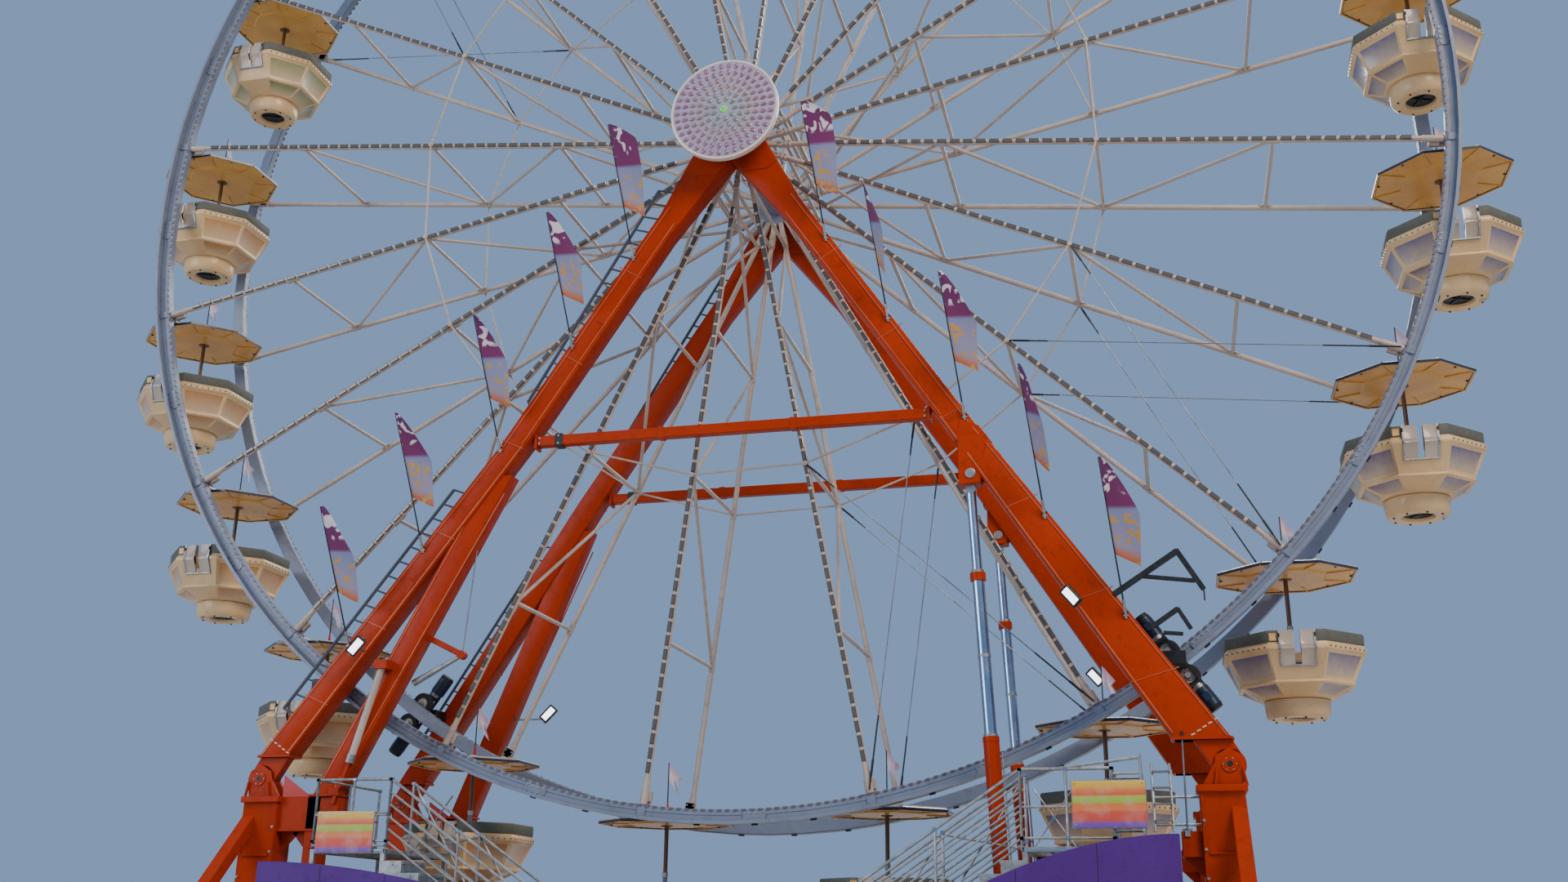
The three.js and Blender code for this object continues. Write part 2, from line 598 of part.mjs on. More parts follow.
// The boarding platform: a low deck, steps to the ground, and a flight up to a landing at each side
function makeFrontPlatform() {
  const d = deck;
  const l = landing;
  const edge = handrail.size / 2;
  const deckPosts = d.postX.flatMap((x) => [-x, x]);
  const frontRow = [-d.outer + d.post / 2, 0];
  const onChassis = [legY(pin.z), chassis.top + touch];
  const rows = [frontRow, onChassis];
  const solids = [slabOnPosts([-d.half, -d.outer], [d.half, -d.inner], d.top, deckPosts, rows)];
  for (const side of [-1, 1]) {
    const [x0, x1] = [side * l.from, side * l.to].sort((a, b) => a - b);
    solids.push(slabOnPosts([x0, -d.outer], [x1, -l.inner], l.top, [x0 + d.post / 2, x1 - d.post / 2],
      [frontRow, [-l.inner - d.post / 2, 0]]));
    const flight = flightOutline([side * d.half, d.top], [side * l.from, l.top], stairs.treads);
    solids.push(plate(flight, -d.outer, -stairs.inner));
    for (const y of [-d.outer + edge, -stairs.inner - edge]) {
      solids.push(railing([side * d.half, y, d.top], [side * l.from, y, l.top], 2));
    }
    const y = -d.outer + edge;
    const end = side * (l.to - edge);
    solids.push(railing([side * l.from, y, l.top], [end, y, l.top], 1));
    solids.push(railing([end, y, l.top], [end, -l.inner - 200, l.top], 2));
    solids.push(railing([side * d.half, y, d.top], [side * (stairs.frontHalf + edge), y, d.top], 1));
    solids.push(fairingPlate(side));
  }
  const steps = flightOutline([-d.outer - stairs.frontRun, 0], [-d.outer, d.top], stairs.frontTreads);
  solids.push(alongY(plate(steps, -stairs.frontHalf, stairs.frontHalf)));
  return join(solids);
}

// The service deck behind the wheel, with a rail along its back and steps down at one end
function makeRearPlatform() {
  const d = deck;
  const r = rearDeck;
  const edge = handrail.size / 2;
  const steps = flightOutline([r.stairEnd, 0], [d.half, d.top], r.treads);
  return join([
    slabOnPosts([-d.half, d.inner], [d.half, r.outer], d.top, d.postX.flatMap((x) => [-x, x]),
      [[d.inner + d.post / 2, 0], [-legY(pin.z), chassis.top + touch]]),
    plate(steps, r.stairInner, r.stairOuter),
    railing([-d.half + edge, r.outer - edge, d.top], [d.half, r.outer - edge, d.top], 4),
    railing([-d.half + edge, d.inner + 100, d.top], [-d.half + edge, r.outer - edge, d.top], 1),
    railing([d.half, r.stairOuter - edge, d.top], [r.stairEnd - edge, r.stairOuter - edge, 60], 2),
  ]);
}

addPart('hub', makeHub(), 'lilacGrey');
addPart('front_rim', makeRim(-1), 'lilacGrey');
addPart('rear_rim', makeRim(1), 'lilacGrey');
addPart('front_inner_ring', makeInnerRing(-1), 'steel');
addPart('rear_inner_ring', makeInnerRing(1), 'steel');
addPart('light_disc', makeLightDisc(), 'lamp');

const rightLeg = makeLeg(leg.rightFootIn, false);
const leftLeg = mirrored(makeLeg(leg.leftFootIn, true), 'x');
const withBanners = (solid, side) => join([solid, ...banner.feet.map((z) => bannerOnPole(side, z))]);
addPart('right_front_leg', withBanners(rightLeg, 1), 'orange');
addPart('left_front_leg', withBanners(leftLeg, -1), 'orange');
addPart('right_rear_leg', mirrored(rightLeg, 'y'), 'orange');
addPart('left_rear_leg', mirrored(leftLeg, 'y'), 'orange');
addPart('front_tie_bar', makeTie(), 'orange');
addPart('rear_tie_bar', mirrored(makeTie(), 'y'), 'orange');
addPart('front_lifting_cylinder', makeCylinder(), 'steel');
addPart('rear_lifting_cylinder', mirrored(makeCylinder(), 'y'), 'steel');

const rightTower = makeTowerHalf(false);
const leftTower = mirrored(makeTowerHalf(true), 'x');
addPart('right_tower_frame', rightTower.add(mirrored(rightTower, 'y')), 'orange');
addPart('left_tower_frame', leftTower.add(mirrored(leftTower, 'y')), 'orange');
addPart('base_chassis', makeChassis(), 'orange');
addPart('front_platform', makeFrontPlatform(), 'galvanised');
addPart('rear_platform', makeRearPlatform(), 'galvanised');

// The diagonals of every second spoke slope the other way
const spokeSolid = makeSpoke();
const spokeGeometries = [geometryOf(spokeSolid), geometryOf(mirrored(spokeSolid, 'y'))];
const gondolaGeometry = geometryOf(makeGondola());
for (let index = 0; index < bays; index += 1) {
  const spoke = new THREE.Mesh(spokeGeometries[index % 2], new THREE.MeshStandardMaterial(paints.white));
  spoke.name = `spoke_${number(index)}`;
  spoke.position.set(0, 0, hubZ);
  spoke.rotation.y = -spokeAngle(index);
  model.add(spoke);
  const cabin = new THREE.Mesh(gondolaGeometry, new THREE.MeshStandardMaterial(paints.cream));
  cabin.name = `gondola_${number(index)}`;
  cabin.position.set(...onSpoke(index, rimRadius, 0));
  model.add(cabin);
}

export default model;
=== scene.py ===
import math

import bmesh
import bpy
from mathutils import Matrix, Vector


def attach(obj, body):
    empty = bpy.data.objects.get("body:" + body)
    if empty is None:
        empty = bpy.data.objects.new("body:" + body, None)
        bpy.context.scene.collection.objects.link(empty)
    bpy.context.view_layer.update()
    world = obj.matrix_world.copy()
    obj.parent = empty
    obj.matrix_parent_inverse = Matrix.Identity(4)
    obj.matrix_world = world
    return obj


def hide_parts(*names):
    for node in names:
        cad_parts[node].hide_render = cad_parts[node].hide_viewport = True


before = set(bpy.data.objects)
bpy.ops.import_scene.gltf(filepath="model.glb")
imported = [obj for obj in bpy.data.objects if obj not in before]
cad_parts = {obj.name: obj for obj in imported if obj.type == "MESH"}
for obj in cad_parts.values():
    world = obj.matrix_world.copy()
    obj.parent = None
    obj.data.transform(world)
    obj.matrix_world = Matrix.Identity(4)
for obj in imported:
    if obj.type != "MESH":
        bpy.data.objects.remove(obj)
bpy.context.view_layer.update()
bpy.ops.object.select_all(action="DESELECT")

# Camera at the photograph's place: low, right of the middle, looking up and left
cameraSetup = {
    "place": (7.062, -25.353, 1.600),
    "turnLeftDeg": 14.44,
    "tiltUpDeg": 18.4,
    "rollDeg": 0.65,
    "lensMm": 33.99,
    "sensorMm": 36,
    "farEnd": 500,
}
turnLeft = Matrix.Rotation(math.radians(cameraSetup["turnLeftDeg"]), 4, "Z")
tiltUp = Matrix.Rotation(math.radians(90 + cameraSetup["tiltUpDeg"]), 4, "X")
rollIt = Matrix.Rotation(math.radians(cameraSetup["rollDeg"]), 4, "Z")
cameraData = bpy.data.cameras.new("photoCamera")
cameraData.lens = cameraSetup["lensMm"]
cameraData.sensor_width = cameraSetup["sensorMm"]
cameraData.clip_end = cameraSetup["farEnd"]
photoCamera = bpy.data.objects.new("photoCamera", cameraData)
photoCamera.matrix_world = Matrix.Translation(cameraSetup["place"]) @ turnLeft @ tiltUp @ rollIt
bpy.context.scene.collection.objects.link(photoCamera)
bpy.context.scene.camera = photoCamera
print("camera placed")


# Selecting, adding and joining
def clearSelection():
    bpy.ops.object.select_all(action="DESELECT")


def pick(*objects):
    clearSelection()
    for obj in objects:
        obj.select_set(True)
    bpy.context.view_layer.objects.active = objects[0]


def settle(obj):
    pick(obj)
    bpy.ops.object.transform_apply(location=True, rotation=True, scale=True)
    return obj


def finishWith(obj, kind, **values):
    pick(obj)
    modifier = obj.modifiers.new(kind.title(), kind)
    for key, value in values.items():
        setattr(modifier, key, value)
    bpy.ops.object.modifier_apply(modifier=modifier.name)
    return obj


def softEdges(obj, width, segments=1):
    return finishWith(obj, "BEVEL", width=width, segments=segments, limit_method="ANGLE", angle_limit=math.radians(32))


def smoothBy(obj, degrees=30):
    pick(obj)
    bpy.ops.object.shade_smooth_by_angle(angle=math.radians(degrees))
    return obj


def paint(obj, material):
    obj.data.materials.clear()
    obj.data.materials.append(material)
    return obj


def joined(objects, name):
    pick(*objects)
    if len(objects) > 1:
        bpy.ops.object.join()
    obj = bpy.context.object
    obj.name = name
    obj.data.name = name
    return obj


def useUp(*objects):
    for obj in objects:
        bpy.data.objects.remove(obj)


def editAll(obj):
    pick(obj)
    bpy.ops.object.mode_set(mode="EDIT")
    bpy.ops.mesh.select_all(action="SELECT")


def leaveEdit():
    bpy.ops.object.mode_set(mode="OBJECT")


def finishEdit():
    # Turns every face outwards and leaves edit mode
    bpy.ops.mesh.select_all(action="SELECT")
    bpy.ops.mesh.normals_make_consistent(inside=False)
    leaveEdit()


def extrudeBy(x, y, z):
    bpy.ops.mesh.extrude_region_move(TRANSFORM_OT_translate={"value": (x, y, z)})


def cubeOf(place, size, edge):
    clearSelection()
    bpy.ops.mesh.primitive_cube_add(size=1, location=place)
    obj = bpy.context.object
    obj.scale = size
    settle(obj)
    return softEdges(obj, edge) if edge else obj


def block(low, high, material, edge=0.0):
    centre = [(a + b) / 2 for a, b in zip(low, high)]
    return paint(cubeOf(centre, [abs(b - a) for a, b in zip(low, high)], edge), material)


def blocks(material, *rows):
    # Blocks of one material, each row with two corners and, where it has one, its edge
    return [block(low, high, material, *edge) for low, high, *edge in rows]


def upright(x, y, halfX, halfY, low, high, material, edge=0.0):
    # A block that stands about (x, y) from one height to another
    return block((x - halfX, y - halfY, low), (x + halfX, y + halfY, high), material, edge)


def alongMatrix(start, end, side=(0, 1, 0)):
    # X across, Y in depth and Z along the bar, with the depth held near to "side"
    start, end = Vector(start), Vector(end)
    along = (end - start).normalized()
    side = Vector(side)
    if abs(along.dot(side)) > 0.95:
        side = Vector((0, 0, 1))
    across = side.cross(along).normalized()
    depth = along.cross(across)
    turned = Matrix((across, depth, along)).transposed().to_4x4()
    return Matrix.Translation((start + end) / 2) @ turned


def rod(start, end, radius, material, sides=10, endRadius=None):
    length = (Vector(end) - Vector(start)).length
    clearSelection()
    bpy.ops.mesh.primitive_cone_add(
        vertices=sides, radius1=radius, radius2=radius if endRadius is None else endRadius, depth=length
    )
    obj = bpy.context.object
    obj.data.transform(alongMatrix(start, end))
    return paint(obj, material)


def rods(material, sides, *rows):
    return [rod(start, end, radius, material, sides) for start, end, radius in rows]


def bar(start, end, width, depth, material, edge=0.0, side=(0, 1, 0)):
    obj = cubeOf((0, 0, 0), (width, depth, (Vector(end) - Vector(start)).length), edge)
    obj.data.transform(alongMatrix(start, end, side))
    return paint(obj, material)


def shapeFrom(points, close=True):
    # A flat face or a wire through given points, started from Blender's own circle
    clearSelection()
    bpy.ops.mesh.primitive_circle_add(vertices=len(points), radius=1, fill_type="NGON" if close else "NOTHING")
    obj = bpy.context.object
    for vertex, point in zip(obj.data.vertices, points):
        vertex.co = point
    return obj


def prism(outline, nearY, farY, material, edge=0.0):
    # A plate with an outline of (x, z) points between two depths
    obj = shapeFrom([(x, nearY, z) for x, z in outline])
    editAll(obj)
    extrudeBy(0, farY - nearY, 0)
    finishEdit()
    if edge:
        softEdges(obj, edge)
    return paint(obj, material)


def spun(profile, steps, material, centre=(0, 0, 0), axis=(0, 1, 0), smooth=True):
    # A closed profile turned all the way round an axis
    obj = shapeFrom(profile, close=False)
    editAll(obj)
    bpy.ops.mesh.spin(steps=steps, angle=2 * math.pi, center=centre, axis=axis)
    bpy.ops.mesh.select_all(action="SELECT")
    bpy.ops.mesh.remove_doubles(threshold=0.0005)
    finishEdit()
    paint(obj, material)
    return smoothBy(obj, 35) if smooth else obj


def spunAbout(x, z, profile, steps, material):
    # The same about an axis along Y, with (radius, y) points
    return spun([(x + radius, y, z) for radius, y in profile], steps, material, centre=(x, 0, z))


def loft(sides, rings, material, startDeg=0.0):
    # Rings of (radius to the flats, height), one extruded from the last
    corner = 1 / math.cos(math.pi / sides)
    (radius, z), *others = rings
    clearSelection()
    bpy.ops.mesh.primitive_circle_add(vertices=sides, radius=1, location=(0, 0, z), fill_type="NGON")
    obj = bpy.context.object
    obj.rotation_euler[2] = math.radians(startDeg)
    obj.scale = (radius * corner, radius * corner, 1)
    settle(obj)
    editAll(obj)
    for nextRadius, nextZ in others:
        extrudeBy(0, 0, nextZ - z)
        scale = nextRadius / radius
        bpy.ops.transform.resize(value=(scale, scale, 1), center_override=(0, 0, nextZ))
        radius, z = nextRadius, nextZ
    finishEdit()
    return paint(obj, material)


def repeated(source, matrices):
    # One mesh that holds a copy of the source at each matrix; the source is used up
    shape = bmesh.new()
    for matrix in matrices:
        part = source.data.copy()
        part.transform(matrix)
        if matrix.determinant() < 0:
            part.flip_normals()
        shape.from_mesh(part)
        bpy.data.meshes.remove(part)
    shape.to_mesh(source.data)
    shape.free()
    source.data.update()
    return source


def copyOf(source, name, matrix):
    obj = source.copy()
    obj.data = source.data.copy()
    obj.data.transform(matrix)
    if matrix.determinant() < 0:
        obj.data.flip_normals()
    obj.name = name
    obj.data.name = name
    bpy.context.scene.collection.objects.link(obj)
    return obj


def fitOn(obj, body, slot, *nodes):
    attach(obj, body)
    if nodes:
        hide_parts(*nodes)
    return obj


def move(x, y, z):
    return Matrix.Translation((x, y, z))


def turn(degrees, axis):
    return Matrix.Rotation(math.radians(degrees), 4, axis)


asItIs = Matrix.Identity(4)
flipX = Matrix.Scale(-1, 4, (1, 0, 0))
flipY = Matrix.Scale(-1, 4, (0, 1, 0))
eighths = [45 * i for i in range(8)]


# Materials
def linear(hexColour):
    parts = [int(hexColour[i : i + 2], 16) / 255 for i in (1, 3, 5)]
    return tuple(c / 12.92 if c <= 0.04045 else ((c + 0.055) / 1.055) ** 2.4 for c in parts) + (1.0,)


def addNode(tree, kind, inputs=None, **settings):
    node = tree.nodes.new(kind)
    for key, value in settings.items():
        setattr(node, key, value)
    for key, value in (inputs or {}).items():
        if isinstance(value, bpy.types.NodeSocket):
            tree.links.new(value, node.inputs[key])
        else:
            node.inputs[key].default_value = value
    return node


def startMaterial(name, **sockets):
    material = bpy.data.materials.new(name)
    material.use_nodes = True
    tree = material.node_tree
    shader = tree.nodes["Principled BSDF"]
    for key, value in sockets.items():
        shader.inputs[key.replace("_", " ")].default_value = value
    return material, tree, shader, addNode(tree, "ShaderNodeTexCoord").outputs["Object"]


noise, crystals, mapRange = "ShaderNodeTexNoise", "ShaderNodeTexVoronoi", "ShaderNodeMapRange"


def addLayers(tree, colour, layers):
    # Lays each colour over the last where its pattern lies between two values, up to its share
    for pattern, low, high, share, over in layers:
        amount = addNode(tree, mapRange, {0: pattern, 1: low, 2: high, 4: share}).outputs[0]
        colour = addNode(tree, "ShaderNodeMix", {0: amount, 6: colour, 7: linear(over)}, data_type="RGBA").outputs[2]
    return colour


def addSurface(tree, shader, colour, height, strength, distance):
    tree.links.new(colour, shader.inputs["Base Color"])
    bump = addNode(tree, "ShaderNodeBump", {"Height": height, "Strength": strength, "Distance": distance})
    tree.links.new(bump.outputs[0], shader.inputs["Normal"])


def addBands(tree, along, stops):
    # Bands of colour that fade into one another along a value from 0 to 1
    ramp = addNode(tree, "ShaderNodeValToRGB", {0: along})
    elements = ramp.color_ramp.elements
    while len(elements) < len(stops):
        elements.new(1.0)
    for element, (position, colour) in zip(elements, stops):
        element.position = position
        element.color = linear(colour)
    return ramp.outputs[0]


def layeredFinish(name, base, patterns, layers, rough=None, relief=None, **sockets):
    # Texture settings by name; the layers, the roughness and the relief each follow one of them
    material, tree, shader, place = startMaterial(name, **sockets)
    made = {}
    for key, values in patterns.items():
        kind, output = (crystals, "Color") if key == "crystals" else (noise, 0)
        made[key] = addNode(tree, kind, {"Vector": place, **values}).outputs[output]
    colour = addLayers(tree, linear(base), [(made[key], *others) for key, *others in layers])
    if rough:
        key, low, high, least, most = rough
        spread = addNode(tree, mapRange, {0: made[key], 1: low, 2: high, 3: least, 4: most})
        tree.links.new(spread.outputs[0], shader.inputs["Roughness"])
    if relief:
        key, strength, distance = relief
        addSurface(tree, shader, colour, made[key], strength, distance)
    else:
        tree.links.new(colour, shader.inputs["Base Color"])
    return material


def paintedFinish(name, base, worn, dirt, patch=0.8, rough=0.38, coat=0.3, gloss=0.35):
    # Sprayed enamel on steel: broad fading, fine dust and a faint orange peel
    return layeredFinish(
        name, base,
        {"fade": {"Scale": patch, "Detail": 5.0, "Roughness": 0.6},
         "dust": {"Scale": 7.0, "Detail": 8.0, "Roughness": 0.7},
         "peel": {"Scale": 90.0, "Detail": 2.0}},
        [("fade", 0.35, 0.7, 1.0, worn), ("dust", 0.52, 0.78, 0.55, dirt)],
        ("dust", 0.3, 0.8, rough - 0.07, rough + 0.2), ("peel", 0.04, 0.004),
        Coat_Weight=coat, Coat_Roughness=0.18, Specular_IOR_Level=gloss,
    )


def metalFinish(name, base, dark, rough, spangle=14.0, bumpy=0.05):
    # Bare or zinc-coated steel: crystal patches of two tones
    return layeredFinish(
        name, base,
        {"crystals": {"Scale": spangle}, "cloud": {"Scale": 3.0, "Detail": 6.0}},
        [("crystals", 0.2, 0.9, 0.6, dark), ("cloud", 0.4, 0.75, 0.6, dark)],
        ("cloud", 0.3, 0.7, rough - 0.08, rough + 0.12), ("cloud", bumpy, 0.01),
        Metallic=1.0,
    )


def gelcoat(name, base, shade, coat=0.4):
    # Glass-reinforced plastic with a polished gelcoat: nearly even, a soft mottle and water marks
    return layeredFinish(
        name, base,
        {"mottle": {"Scale": 2.2, "Detail": 6.0}, "stain": {"Scale": 11.0, "Detail": 6.0, "Roughness": 0.7}},
        [("mottle", 0.35, 0.7, 1.0, shade), ("stain", 0.55, 0.8, 0.35, "#6d5a41")],
        ("stain", 0.3, 0.8, 0.22, 0.5), ("mottle", 0.06, 0.01),
        Coat_Weight=coat, Coat_Roughness=0.12, Specular_IOR_Level=0.3,
    )


def darkRubber(name, base, dusty, rough=0.75):
    # Moulded rubber or plastic: dull, with dust in its pores
    return layeredFinish(
        name, base,
        {"dust": {"Scale": 16.0, "Detail": 6.0}, "pores": {"Scale": 160.0, "Detail": 2.0}},
        [("dust", 0.45, 0.75, 0.7, dusty)],
        ("dust", 0.3, 0.8, rough - 0.1, rough + 0.1), ("pores", 0.2, 0.003),
    )


def lampLens(name, colour, glow=0.0, pale="#e8e4ea"):
    # Moulded acrylic cap over a lamp: glossy, with a little light of its own where it is lit
    lit = {"Emission_Color": linear(colour), "Emission_Strength": glow} if glow else {}
    return layeredFinish(
        name, colour, {"grain": {"Scale": 40.0, "Detail": 3.0}}, [("grain", 0.35, 0.7, 0.5, pale)],
        Roughness=0.15, Coat_Weight=0.5, Coat_Roughness=0.05, **lit,
    )


def fadedPanel(name, top, low):
    # Sprayed band on the gondola's side panels that fades downwards into the shell's own colour
    material, tree, shader, place = startMaterial(name, Coat_Weight=0.4, Coat_Roughness=0.12, Roughness=0.3)
    fade = addNode(tree, "ShaderNodeAttribute", attribute_name="fade").outputs["Fac"]
    grain = addNode(tree, noise, {"Vector": place, "Scale": 9.0, "Detail": 5.0}).outputs[0]
    uneven = addNode(tree, mapRange, {0: grain, 1: 0.3, 2: 0.7, 3: -0.08, 4: 0.08}).outputs[0]
    spread = addNode(tree, "ShaderNodeMath", {0: fade, 1: uneven}, operation="ADD").outputs[0]
    addSurface(tree, shader, addLayers(tree, linear(low), [(spread, 0.15, 0.95, 1.0, top)]), grain, 0.05, 0.005)
    return material


def clothFinish(name, stops, motifs=()):
    # Printed polyester flag cloth: bands along the length, a plain weave drawn coarse enough to show
    material, tree, shader, place = startMaterial(name, Roughness=0.8, Sheen_Weight=0.3, Sheen_Roughness=0.4)
    uv = addNode(tree, "ShaderNodeUVMap").outputs[0]
    along = addNode(tree, "ShaderNodeSeparateXYZ", {0: uv}).outputs[1]
    colour = addBands(tree, along, stops)
    for blots, scale, least, start, full in motifs:
        # loose blots of another colour in one part of the cloth
        cloud = addNode(tree, noise, {"Vector": place, "Scale": scale, "Detail": 1.5, "Distortion": 0.8}).outputs[0]
        blot = addNode(tree, mapRange, {0: cloud, 1: least, 2: least + 0.03}).outputs[0]
        there = addNode(tree, mapRange, {0: along, 1: start, 2: full}).outputs[0]
        both = addNode(tree, "ShaderNodeMath", {0: blot, 1: there}, operation="MULTIPLY").outputs[0]
        colour = addLayers(tree, colour, [(both, 0.0, 1.0, 1.0, blots)])
    weave = addNode(tree, noise, {"Vector": place, "Scale": 120.0, "Detail": 1.0}).outputs[0]
    addSurface(tree, shader, addLayers(tree, colour, [(weave, 0.4, 0.7, 0.25, "#5d5466")]), weave, 0.15, 0.002)
    return material


def stripedBoard(name, lowZ, highZ):
    # Printed aluminium composite board: level bands that fade a little into one another
    material, tree, shader, place = startMaterial(name, Coat_Weight=0.3, Coat_Roughness=0.25, Roughness=0.42)
    height = addNode(tree, "ShaderNodeSeparateXYZ", {0: place}).outputs[2]
    cloud = addNode(tree, noise, {"Vector": place, "Scale": 5.0, "Detail": 5.0}).outputs[0]
    level = addNode(tree, mapRange, {0: height, 1: lowZ, 2: highZ}).outputs[0]
    uneven = addNode(tree, mapRange, {0: cloud, 3: -0.02, 4: 0.02}).outputs[0]
    wavy = addNode(tree, "ShaderNodeMath", {0: uneven, 1: level}, operation="ADD").outputs[0]
    bands = addBands(tree, wavy, [
        (0.0, "#6a3f9c"), (0.11, "#7b4aa6"), (0.15, "#c8483a"), (0.33, "#d0503c"), (0.38, "#dd7a3c"), (0.50, "#d8783a"),
        (0.54, "#9cb53c"), (0.66, "#a9bd42"), (0.70, "#d2553e"), (0.80, "#dc8040"), (0.86, "#e0a53e"), (1.0, "#dfc04c"),
    ])
    tree.links.new(addLayers(tree, bands, [(cloud, 0.45, 0.8, 0.3, "#c9c0bd")]), shader.inputs["Base Color"])
    return material


orangePaint = paintedFinish("orangeEnamel", "#b03306", "#9c2a05", "#5a1c08", patch=0.35, coat=0.03, gloss=0.12)
# paler orange for the legs' edge strips and weld beads: a painted highlight where their edges catch the light
highlightOrangeEdge = paintedFinish("paintedHighlightOrangeEnamel", "#c0603a", "#b04a24", "#6e2a12", coat=0.1)
rimPaint = paintedFinish("lilacSilverPaint", "#7b869c", "#717a8d", "#535762", rough=0.42, coat=0.15)
spokePaint = paintedFinish("warmWhiteEnamel", "#c2b3a8", "#ad9d92", "#786a60", rough=0.45, coat=0.15)
zincSteel = metalFinish("galvanisedSteel", "#b4b5b4", "#7e8080", 0.5)
# chrome tinted blue: a painted sky reflection in its base colour
brightSteel = metalFinish("hardChrome", "#b4c4d6", "#93a6bc", 0.2, spangle=3.0, bumpy=0.01)
deckMetal = metalFinish("aluminiumTreadPlate", "#a9abab", "#83868a", 0.45, spangle=30.0)
cableSteel = metalFinish("wireRope", "#8f9096", "#5d6066", 0.5, spangle=200.0)
creamShell = gelcoat("creamGelcoat", "#e0be8c", "#d2ae80", coat=0.15)
canopyTan = gelcoat("tanCanopyGelcoat", "#e7b35d", "#d6a04e", coat=0.0)
canopyTop = gelcoat("paleCanopyGelcoat", "#cbbfa8", "#b3a58c")
navyTrim = gelcoat("navyTrim", "#2b3350", "#20273e")
doorGrey = gelcoat("greyDoorGelcoat", "#b9ab9b", "#a89a8c")
bandGrey = darkRubber("greyRimPad", "#565850", "#6a6b60")
blackRubber = darkRubber("blackRubber", "#17181a", "#34343a")
lugPaint = paintedFinish("brownLilacLugPaint", "#6f6468", "#63585c", "#40383a")
blackPlastic = darkRubber("blackPlastic", "#101215", "#25282d", rough=0.5)
poleBlue = paintedFinish("blueGreyPolePaint", "#6c7288", "#5e647a", "#40455a")
poleBrown = paintedFinish("brownPolePaint", "#6d4a2a", "#5c3d20", "#3b2713")
slateSteel = paintedFinish("slateGreyPaint", "#4a4f5c", "#3e434f", "#2a2d35")
motorBlue = paintedFinish("motorNavyPaint", "#14304e", "#102840", "#0b1926")
purplePaint = paintedFinish("purplePanelPaint", "#562a82", "#4a2472", "#321754", 0.5, 0.35, 0.08, 0.2)
boardLilac = paintedFinish("lilacBoardPaint", "#a9a2b7", "#9d95ab", "#796f80")
boardEdge = paintedFinish("beigeEdgePaint", "#d3bba6", "#c2a892", "#9a846f")
discEdge = paintedFinish("creamEdgePaint", "#ecdfd2", "#dfd0c2", "#b5a595")
redPaint = paintedFinish("redEnamel", "#b8231a", "#a81c14", "#6d120d")
hubWhite = paintedFinish("tyreHubPaint", "#cfc8bd", "#b5aea3", "#7a746b")
ledDark = lampLens("darkLampModule", "#383532", pale="#5a5550")
ledSmoke = lampLens("smokyLampFace", "#524d48", pale="#746d65")
floodGlow = lampLens("floodlightFace", "#ffffff", glow=3.0)
panelTints = {
    "orange": fadedPanel("orangeFadedPanel", "#bb8146", "#cdb08a"),
    "violet": fadedPanel("violetFadedPanel", "#665f80", "#bea98f"),
    "green": fadedPanel("greenFadedPanel", "#838d5c", "#c8b28c"),
}
print("materials made")


def selectFaces(obj, test):
    mesh = obj.data
    mesh.vertices.foreach_set("select", [False] * len(mesh.vertices))
    mesh.edges.foreach_set("select", [False] * len(mesh.edges))
    mesh.polygons.foreach_set("select", [bool(test(face.center, face.normal)) for face in mesh.polygons])
    pick(obj)
    bpy.context.tool_settings.mesh_select_mode = (False, False, True)


def insetFaces(obj, test, thickness, depth, material=None):
    selectFaces(obj, test)
    bpy.ops.object.mode_set(mode="EDIT")
    bpy.ops.mesh.inset(thickness=thickness, depth=depth, use_individual=True)
    leaveEdit()
    if material:
        obj.data.materials.append(material)
        for face in obj.data.polygons:
            if face.select:
                face.material_index = len(obj.data.materials) - 1
    return obj


def colourFaces(obj, test, material):
    obj.data.materials.append(material)
    for face in obj.data.polygons:
        if test(face.center, face.normal):
            face.material_index = len(obj.data.materials) - 1
    return obj


def facesFront(centre, normal):
    return normal.y < -0.9


def cutWith(obj, cutter):
    finishWith(obj, "BOOLEAN", object=cutter, operation="DIFFERENCE", solver="EXACT")
    useUp(cutter)
    return obj


def octRing(profile, material):
    # A closed outline of (radius to the flats, height) turned in eight steps, flats towards X and Y
    corner = 1 / math.cos(math.pi / 8)
    first = math.radians(22.5)
    points = [(r * corner * math.cos(first), r * corner * math.sin(first), z) for r, z in profile]
    return spun(points, 8, material, axis=(0, 0, 1), smooth=False)


def roundRing(profile, material, steps=32):
    return spun([(r, 0, z) for r, z in profile], steps, material, axis=(0, 0, 1))


def boltsAt(places, size, material, facing=(0, -1, 0)):
    # Hexagon heads, each with a washer face under it
    high = size * 1.1
    clearSelection()
    bpy.ops.mesh.primitive_circle_add(vertices=6, radius=size * 1.35, fill_type="NGON")
    head = bpy.context.object
    editAll(head)
    extrudeBy(0, 0, high * 0.25)
    bpy.ops.mesh.inset(thickness=size * 0.35, depth=0)
    extrudeBy(0, 0, high * 0.75)
    finishEdit()
    aim = Vector((0, 0, 1)).rotation_difference(Vector(facing)).to_matrix().to_4x4()
    return repeated(paint(head, material), [Matrix.Translation(p) @ aim for p in places])


def around(count, radius, centre=(0, 0), startDeg=0.0):
    steps = [math.radians(startDeg + 360 * i / count) for i in range(count)]
    return [(centre[0] + radius * math.cos(a), centre[1] + radius * math.sin(a)) for a in steps]


# The wheel's own frame: one spoke lies along +X at the hub and is turned about Y
wheel = {"bays": 20, "hubHeight": 15.9, "rimRadius": 12.5, "firstDeg": 173.1, "planeY": 1.3}
hubZ, bays = wheel["hubHeight"], range(wheel["bays"])


def spokeAngle(index):
    return wheel["firstDeg"] + 360 / wheel["bays"] * index


def onSpoke(index, radius, y=0.0):
    angle = math.radians(spokeAngle(index))
    return (radius * math.cos(angle), y, hubZ + radius * math.sin(angle))


